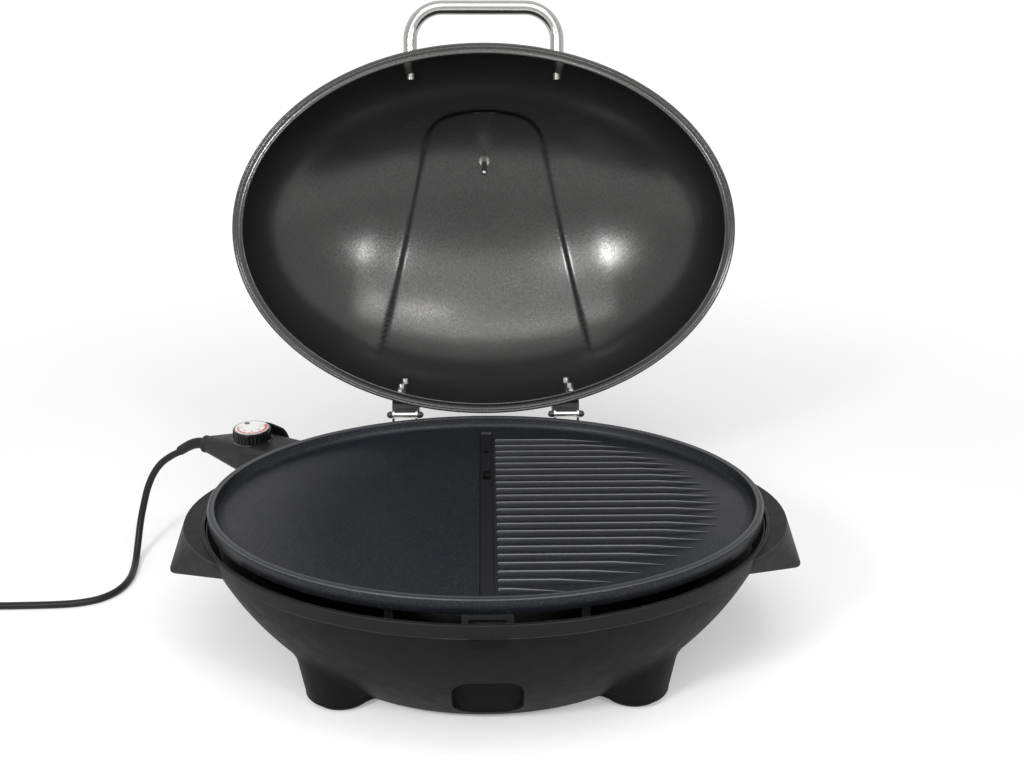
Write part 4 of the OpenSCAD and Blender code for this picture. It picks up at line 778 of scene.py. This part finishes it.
skins = [face for face in skins if not in_notch(np.mean([verts[v] for v in face], axis=0))]
for fx, fy in FEET:
    sole = [(26 + 5 * sin(radians(a)), 8 - 5 * cos(radians(a))) for a in range(0, 91, 15)] + [(31, 14)]
    sole = [(0.2, 3)] + sole + [(0.2, 14)]
    rings = [[(fx + r * cos(t), fy + r * sin(t), z) for t in full_turn(64)] for r, z in sole]
    add_strip(verts, skins, rings, True)
bowl = new_mesh("bowl", [Vector(p) / 1000 for p in verts], skins)
bowl.data.set_sharp_from_angle(angle=radians(40))
fit_piece(bowl, "base", "base_plastic", finish["base_plastic"], "base_bowl")
print("bowl:", len(bowl.data.polygons), "faces")

# %% [markdown]
# ## Finishes on the ready-made solids
# The other solids have their right shape already. Each takes the finish of what it is made of.

# %% Dressing the solids
def dress(name, nodes):
    """Puts a finish on ready-made solids."""
    for node in (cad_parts[n] for n in nodes):
        if not node.material_slots:
            node.data.materials.append(finish[name])
        for held in node.material_slots:
            held.material = finish[name]
    print(name, "on", ", ".join(nodes))

# each finish, and the nodes that wear it
# the element's clips take that darkened element steel too, as painted shade seen through the drain hole
WORN = """
rim_plastic: base_rim
base_plastic: front_catch
guard_plastic: socket_guard
foot_rubber: foot_pads
reflector_steel: heat_reflector
tray_aluminium: drip_tray
post_steel: plate_posts base_screws
rest_enamel: plate_rests
element_steel: heating_element element_clips
pin_steel: contact_pins
ceramic: terminal_block
hinge_steel: hinge_brackets hinge_pins bracket_screws hinge_barrels hinge_bolts
cap_black: pin_caps lid_hinge_arms
handle_steel: lid_handle handle_ferrules
screw_zinc: handle_screws
gauge_steel: gauge_case gauge_bezel
stem_steel: gauge_stem gauge_nut
gauge_white: gauge_face
needle_red: gauge_needle
control_plastic: control_lower control_upper cord_collar
relief_rubber: strain_relief
ring_gloss: control_ring
probe_steel: probe_rod
contact_brass: contact_sleeves
knob_gloss: dial_knob
dial_print: dial_face
shaft_steel: dial_shaft
cord_black: cord_tie
plug_black: plug_body plug_face
plug_metal: plug_pins
"""
for row in WORN.strip().split("\n"):
    name, nodes = row.split(": ")
    dress(name, nodes.split())
lead.data.materials.append(finish["cord_black"])

# %% Gauge glass
tree, into = blank("gauge_glass", Transmission_Weight=1.0, IOR=1.45)
tree.links.new(mixed(tree, use(tree, mottling, Size=0.02), (0.97, 0.98, 0.98), (1, 1, 1)), into["Base Color"])
tree.links.new(use(tree, mottling, Size=0.01, Low=0.01, High=0.05), into["Roughness"])
dress("gauge_glass", ["gauge_lens"])

# %% [markdown]
# ## Print on the dial and the thermometer
# The dial carries a red band that thickens from cool to hot, with ticks and the figures 1 to 5, and in black a dot
# for off and a thin ring round its edge. The thermometer has black ticks, round figures and a red band at its hot
# end. Print is a film of ink, so each mark is a flat shape with a thickness of a few hundredths of a millimetre, laid
# on the face. That keeps it sharp from any distance, which a painted mask doesn't.

# %% Helpers for print
FILM = 0.05     # thickness of the ink, in millimetres

def ink_shapes(name, outlines):
    """Flat closed outlines in millimetres, as thin plates at height nought."""
    verts, faces = [], []
    for outline in outlines:
        first, n = len(verts), len(outline)
        verts += [(x / 1000, y / 1000, z / 1000) for z in (0, FILM) for x, y in outline]
        faces += [tuple(first + k for k in range(n))[::-1], tuple(first + n + k for k in range(n))]
        faces += [(first + k, first + (k + 1) % n, first + n + (k + 1) % n, first + n + k) for k in range(n)]
    return new_mesh(name, verts, faces, False)

def on_dial(radius, angle):
    """A point at a distance from the middle, at an angle in degrees."""
    return (radius * cos(radians(angle)), radius * sin(radians(angle)))

def tick(angle, r0, r1, wide):
    """A short line along a radius."""
    (c, s), w = on_dial(1, angle), wide / 2
    return [(r * c - v * s, r * s + v * c) for r, v in ((r0, -w), (r1, -w), (r1, w), (r0, w))]

def band(start, end, inner, thin, wide):
    """Pieces of a ring that thickens from thin to wide."""
    pieces, n = [], 36
    for k in range(n):
        a, b = (start + (end - start) * i / n for i in (k, k + 1))
        wa, wb = (thin + (wide - thin) * i / n for i in (k, k + 1))
        pieces.append([on_dial(inner, a), on_dial(inner, b), on_dial(inner + wb, b), on_dial(inner + wa, a)])
    return [p if start < end else p[::-1] for p in pieces]

def figure(name, words, tall):
    """Plain figures as a thin mesh, centred on its origin."""
    text = bpy.data.curves.new(name, "FONT")
    text.body, text.size, text.align_x, text.align_y = words, tall / 1000, "CENTER", "CENTER"
    text.extrude = FILM / 2000
    holder = bpy.data.objects.new(name, text)
    bpy.context.scene.collection.objects.link(holder)
    mesh = bpy.data.meshes.new_from_object(holder.evaluated_get(bpy.context.evaluated_depsgraph_get()))
    bpy.data.objects.remove(holder)
    return mesh

def ink(name, outlines, figures, place, body, slot, material):
    """Joins marks and figures in one piece and lays it on its face."""
    piece = ink_shapes(name, outlines)
    joined = bmesh.new()
    joined.from_mesh(piece.data)
    for words, tall, (x, y), turn in figures:
        mesh = figure(name + "_figure", words, tall)
        at = Matrix.Translation((x / 1000, y / 1000, FILM / 2000))
        mesh.transform(at @ Matrix.Rotation(radians(turn), 4, "Z"))
        joined.from_mesh(mesh)
    joined.to_mesh(piece.data)
    joined.free()
    piece.data.transform(place)
    fit_piece(piece, body, slot, material)
    print(name, "has", len(outlines), "marks and", len(figures), "figures")

# %% Print on the dial
moulded("print_red", (0.5, 0.025, 0.02), (0.56, 0.035, 0.03), (0.6, 0.1, 0.09),
        (0.3, 0.4), 0.0006, 0.000004, 0.2)
moulded("print_black", (0.015, 0.015, 0.015), (0.02, 0.02, 0.02), (0.05, 0.05, 0.05),
        (0.3, 0.4), 0.0006, 0.000004, 0.2)
dial_place = Matrix.Translation((DIAL.x / 1000, DIAL.y / 1000, 0.15052)) @ Matrix.Rotation(-SKEW, 4, "Z")
marks = band(190, 415, 12.8, 0.9, 2.6) + [tick(a, 11.6, 12.8, 0.9) for a in range(190, 416, 25)]
figures = [(str(k + 1), 5.4, on_dial(9.4, 200 + 50 * k), 290 + 50 * k) for k in range(5)]
ink("dial_marks_red", marks, figures, dial_place, "dial", "needle_red", finish["print_red"])
off_dot = [(2.6 * cos(t) - 9.6, 2.6 * sin(t) + 7.4) for t in full_turn(20)]
edge_ring = band(0, 360, 16.0, 0.6, 0.6)
ink("dial_mark_off", [off_dot] + edge_ring, [], dial_place, "dial", "knob_gloss", finish["print_black"])

# %% Print on the thermometer
# up to the gauge on the crown, tilted with it, and up to its face
gauge_place = (swing @ Matrix.Translation((0, -0.075, 0.2581)) @ Matrix.Rotation(radians(18.2535), 4, "X")
               @ Matrix.Translation((0, 0, 0.00703)))
LOWEST, SPAN = 225, 270     # angle of the lowest figure, and the sweep from there to the highest
ticks = [tick(LOWEST - SPAN * k / 20, 17.5 if k % 5 else 15.5, 20.5, 0.5 if k % 5 else 0.9) for k in range(21)]
figures = [(str(50 + 75 * k), 4.0, on_dial(11.2, LOWEST - SPAN * k / 4), 0) for k in range(5)]
ink("gauge_marks", ticks, figures, gauge_place, "lid", "gauge_white", finish["print_black"])
ink("gauge_hot_band", band(20, -45, 21.0, 0.9, 0.9), [], gauge_place, "lid", "needle_red", finish["print_red"])

# %% [markdown]
# ## Light and floor
# The lid is a satin mirror, so what it shows is the studio itself: a strong soft lamp at the upper left, a weaker one
# at the upper right and a small one high on the right. A wide lamp above the camera fills the shadows, and a long one
# overhead draws a soft light along the lead and the rims. The room is white to the eye and in reflections, and
# weaker as a light, so that dark plastic keeps its depth. Its front half is a little dimmer in reflections, which
# models the bright metal. The floor is a plain pale surface that takes the shadow. Far from the grill it fades into
# the white of the room, so that no line shows where the two meet.

# %% Lamps
def soft_lamp(name, at, aim, wide, tall, power):
    """A flat lamp of the given size in metres and power in watts, turned towards a point."""
    data = bpy.data.lights.new(name, "AREA")
    data.shape, data.size, data.size_y, data.energy = "RECTANGLE", wide, tall, power
    lamp = bpy.data.objects.new(name, data)
    away = Vector(at) - Vector(aim)
    lamp.matrix_world = Matrix.Translation(at) @ away.to_track_quat("Z", "Y").to_matrix().to_4x4()
    bpy.context.scene.collection.objects.link(lamp)
    return lamp

lamps = [soft_lamp("left_lamp", (-0.67, -0.96, 0.97), (0, 0.2, 0.3), 0.22, 0.22, 8),
         soft_lamp("right_lamp", (0.65, -1.03, 0.96), (0, 0.2, 0.3), 0.22, 0.2, 3.4),
         soft_lamp("high_lamp", (0.36, -0.6, 1.58), (0, 0.1, 0.3), 0.3, 0.16, 1.5),
         soft_lamp("wide_lamp", (0.0, -1.25, 1.75), (0, 0.1, 0.2), 2.2, 1.5, 15),
         soft_lamp("top_lamp", (0.0, -0.4, 1.9), (0, 0.1, 0.15), 1.6, 0.35, 5)]
print(len(lamps), "lamps")

# %% Room
def seen_rays(tree):
    """The share of camera rays, and that of all rays that show something: from the eye, a mirror or through glass."""
    path = put(tree, "LightPath").outputs
    mirrored = calc(tree, "MAXIMUM", path["Is Camera Ray"], path["Is Glossy Ray"])
    return path["Is Camera Ray"], calc(tree, "MAXIMUM", mirrored, path["Is Transmission Ray"])

room = bpy.data.worlds.new("white_room")
room.use_nodes = True
bpy.context.scene.world = room
tree = room.node_tree
by_eye, seen = seen_rays(tree)
ahead = put(tree, "SeparateXYZ", {"Vector": put(tree, "TexCoord").outputs["Generated"]}).outputs["Y"]
backdrop = remap(tree, ahead, -0.5, 0.6, 0.75, 1.0, interpolation_type="SMOOTHSTEP")
strength = remap(tree, seen, low=0.5, high=calc(tree, "MAXIMUM", backdrop, by_eye))
background = tree.nodes["Background"]
background.inputs["Color"].default_value = (1, 1, 1, 1)
tree.links.new(strength, background.inputs["Strength"])
print("the room is", room.name)

# %% Floor
floor = new_mesh("studio_floor", [(-30, -8, 0), (30, -8, 0), (30, 60, 0), (-30, 60, 0)], [(0, 1, 2, 3)], False)
tree, into = blank("pale_floor", Roughness=0.9)
away = put(tree, "VectorMath", {0: own_place(tree)}, operation="LENGTH").outputs["Value"]
far = remap(tree, away, 0.5, 1.35, interpolation_type="SMOOTHSTEP")
paint = mixed(tree, use(tree, mottling, Size=0.4), (0.78, 0.78, 0.78), (0.8, 0.8, 0.8))
tree.links.new(mixed(tree, far, paint, (0, 0, 0)), into["Base Color"])
_, seen = seen_rays(tree)
shine = calc(tree, "MULTIPLY", seen, remap(tree, far, low=0.25))
glow = put(tree, "Emission", {"Color": (1, 1, 1, 1), "Strength": shine})
joined = put(tree, "AddShader", {0: tree.nodes["Principled BSDF"].outputs[0], 1: glow.outputs[0]})
tree.links.new(joined.outputs[0], tree.nodes["Material Output"].inputs["Surface"])
floor.data.materials.append(finish["pale_floor"])
bpy.context.scene.view_settings.view_transform = "Standard"
print("room and floor are ready, with", len(bpy.data.materials), "materials in all")
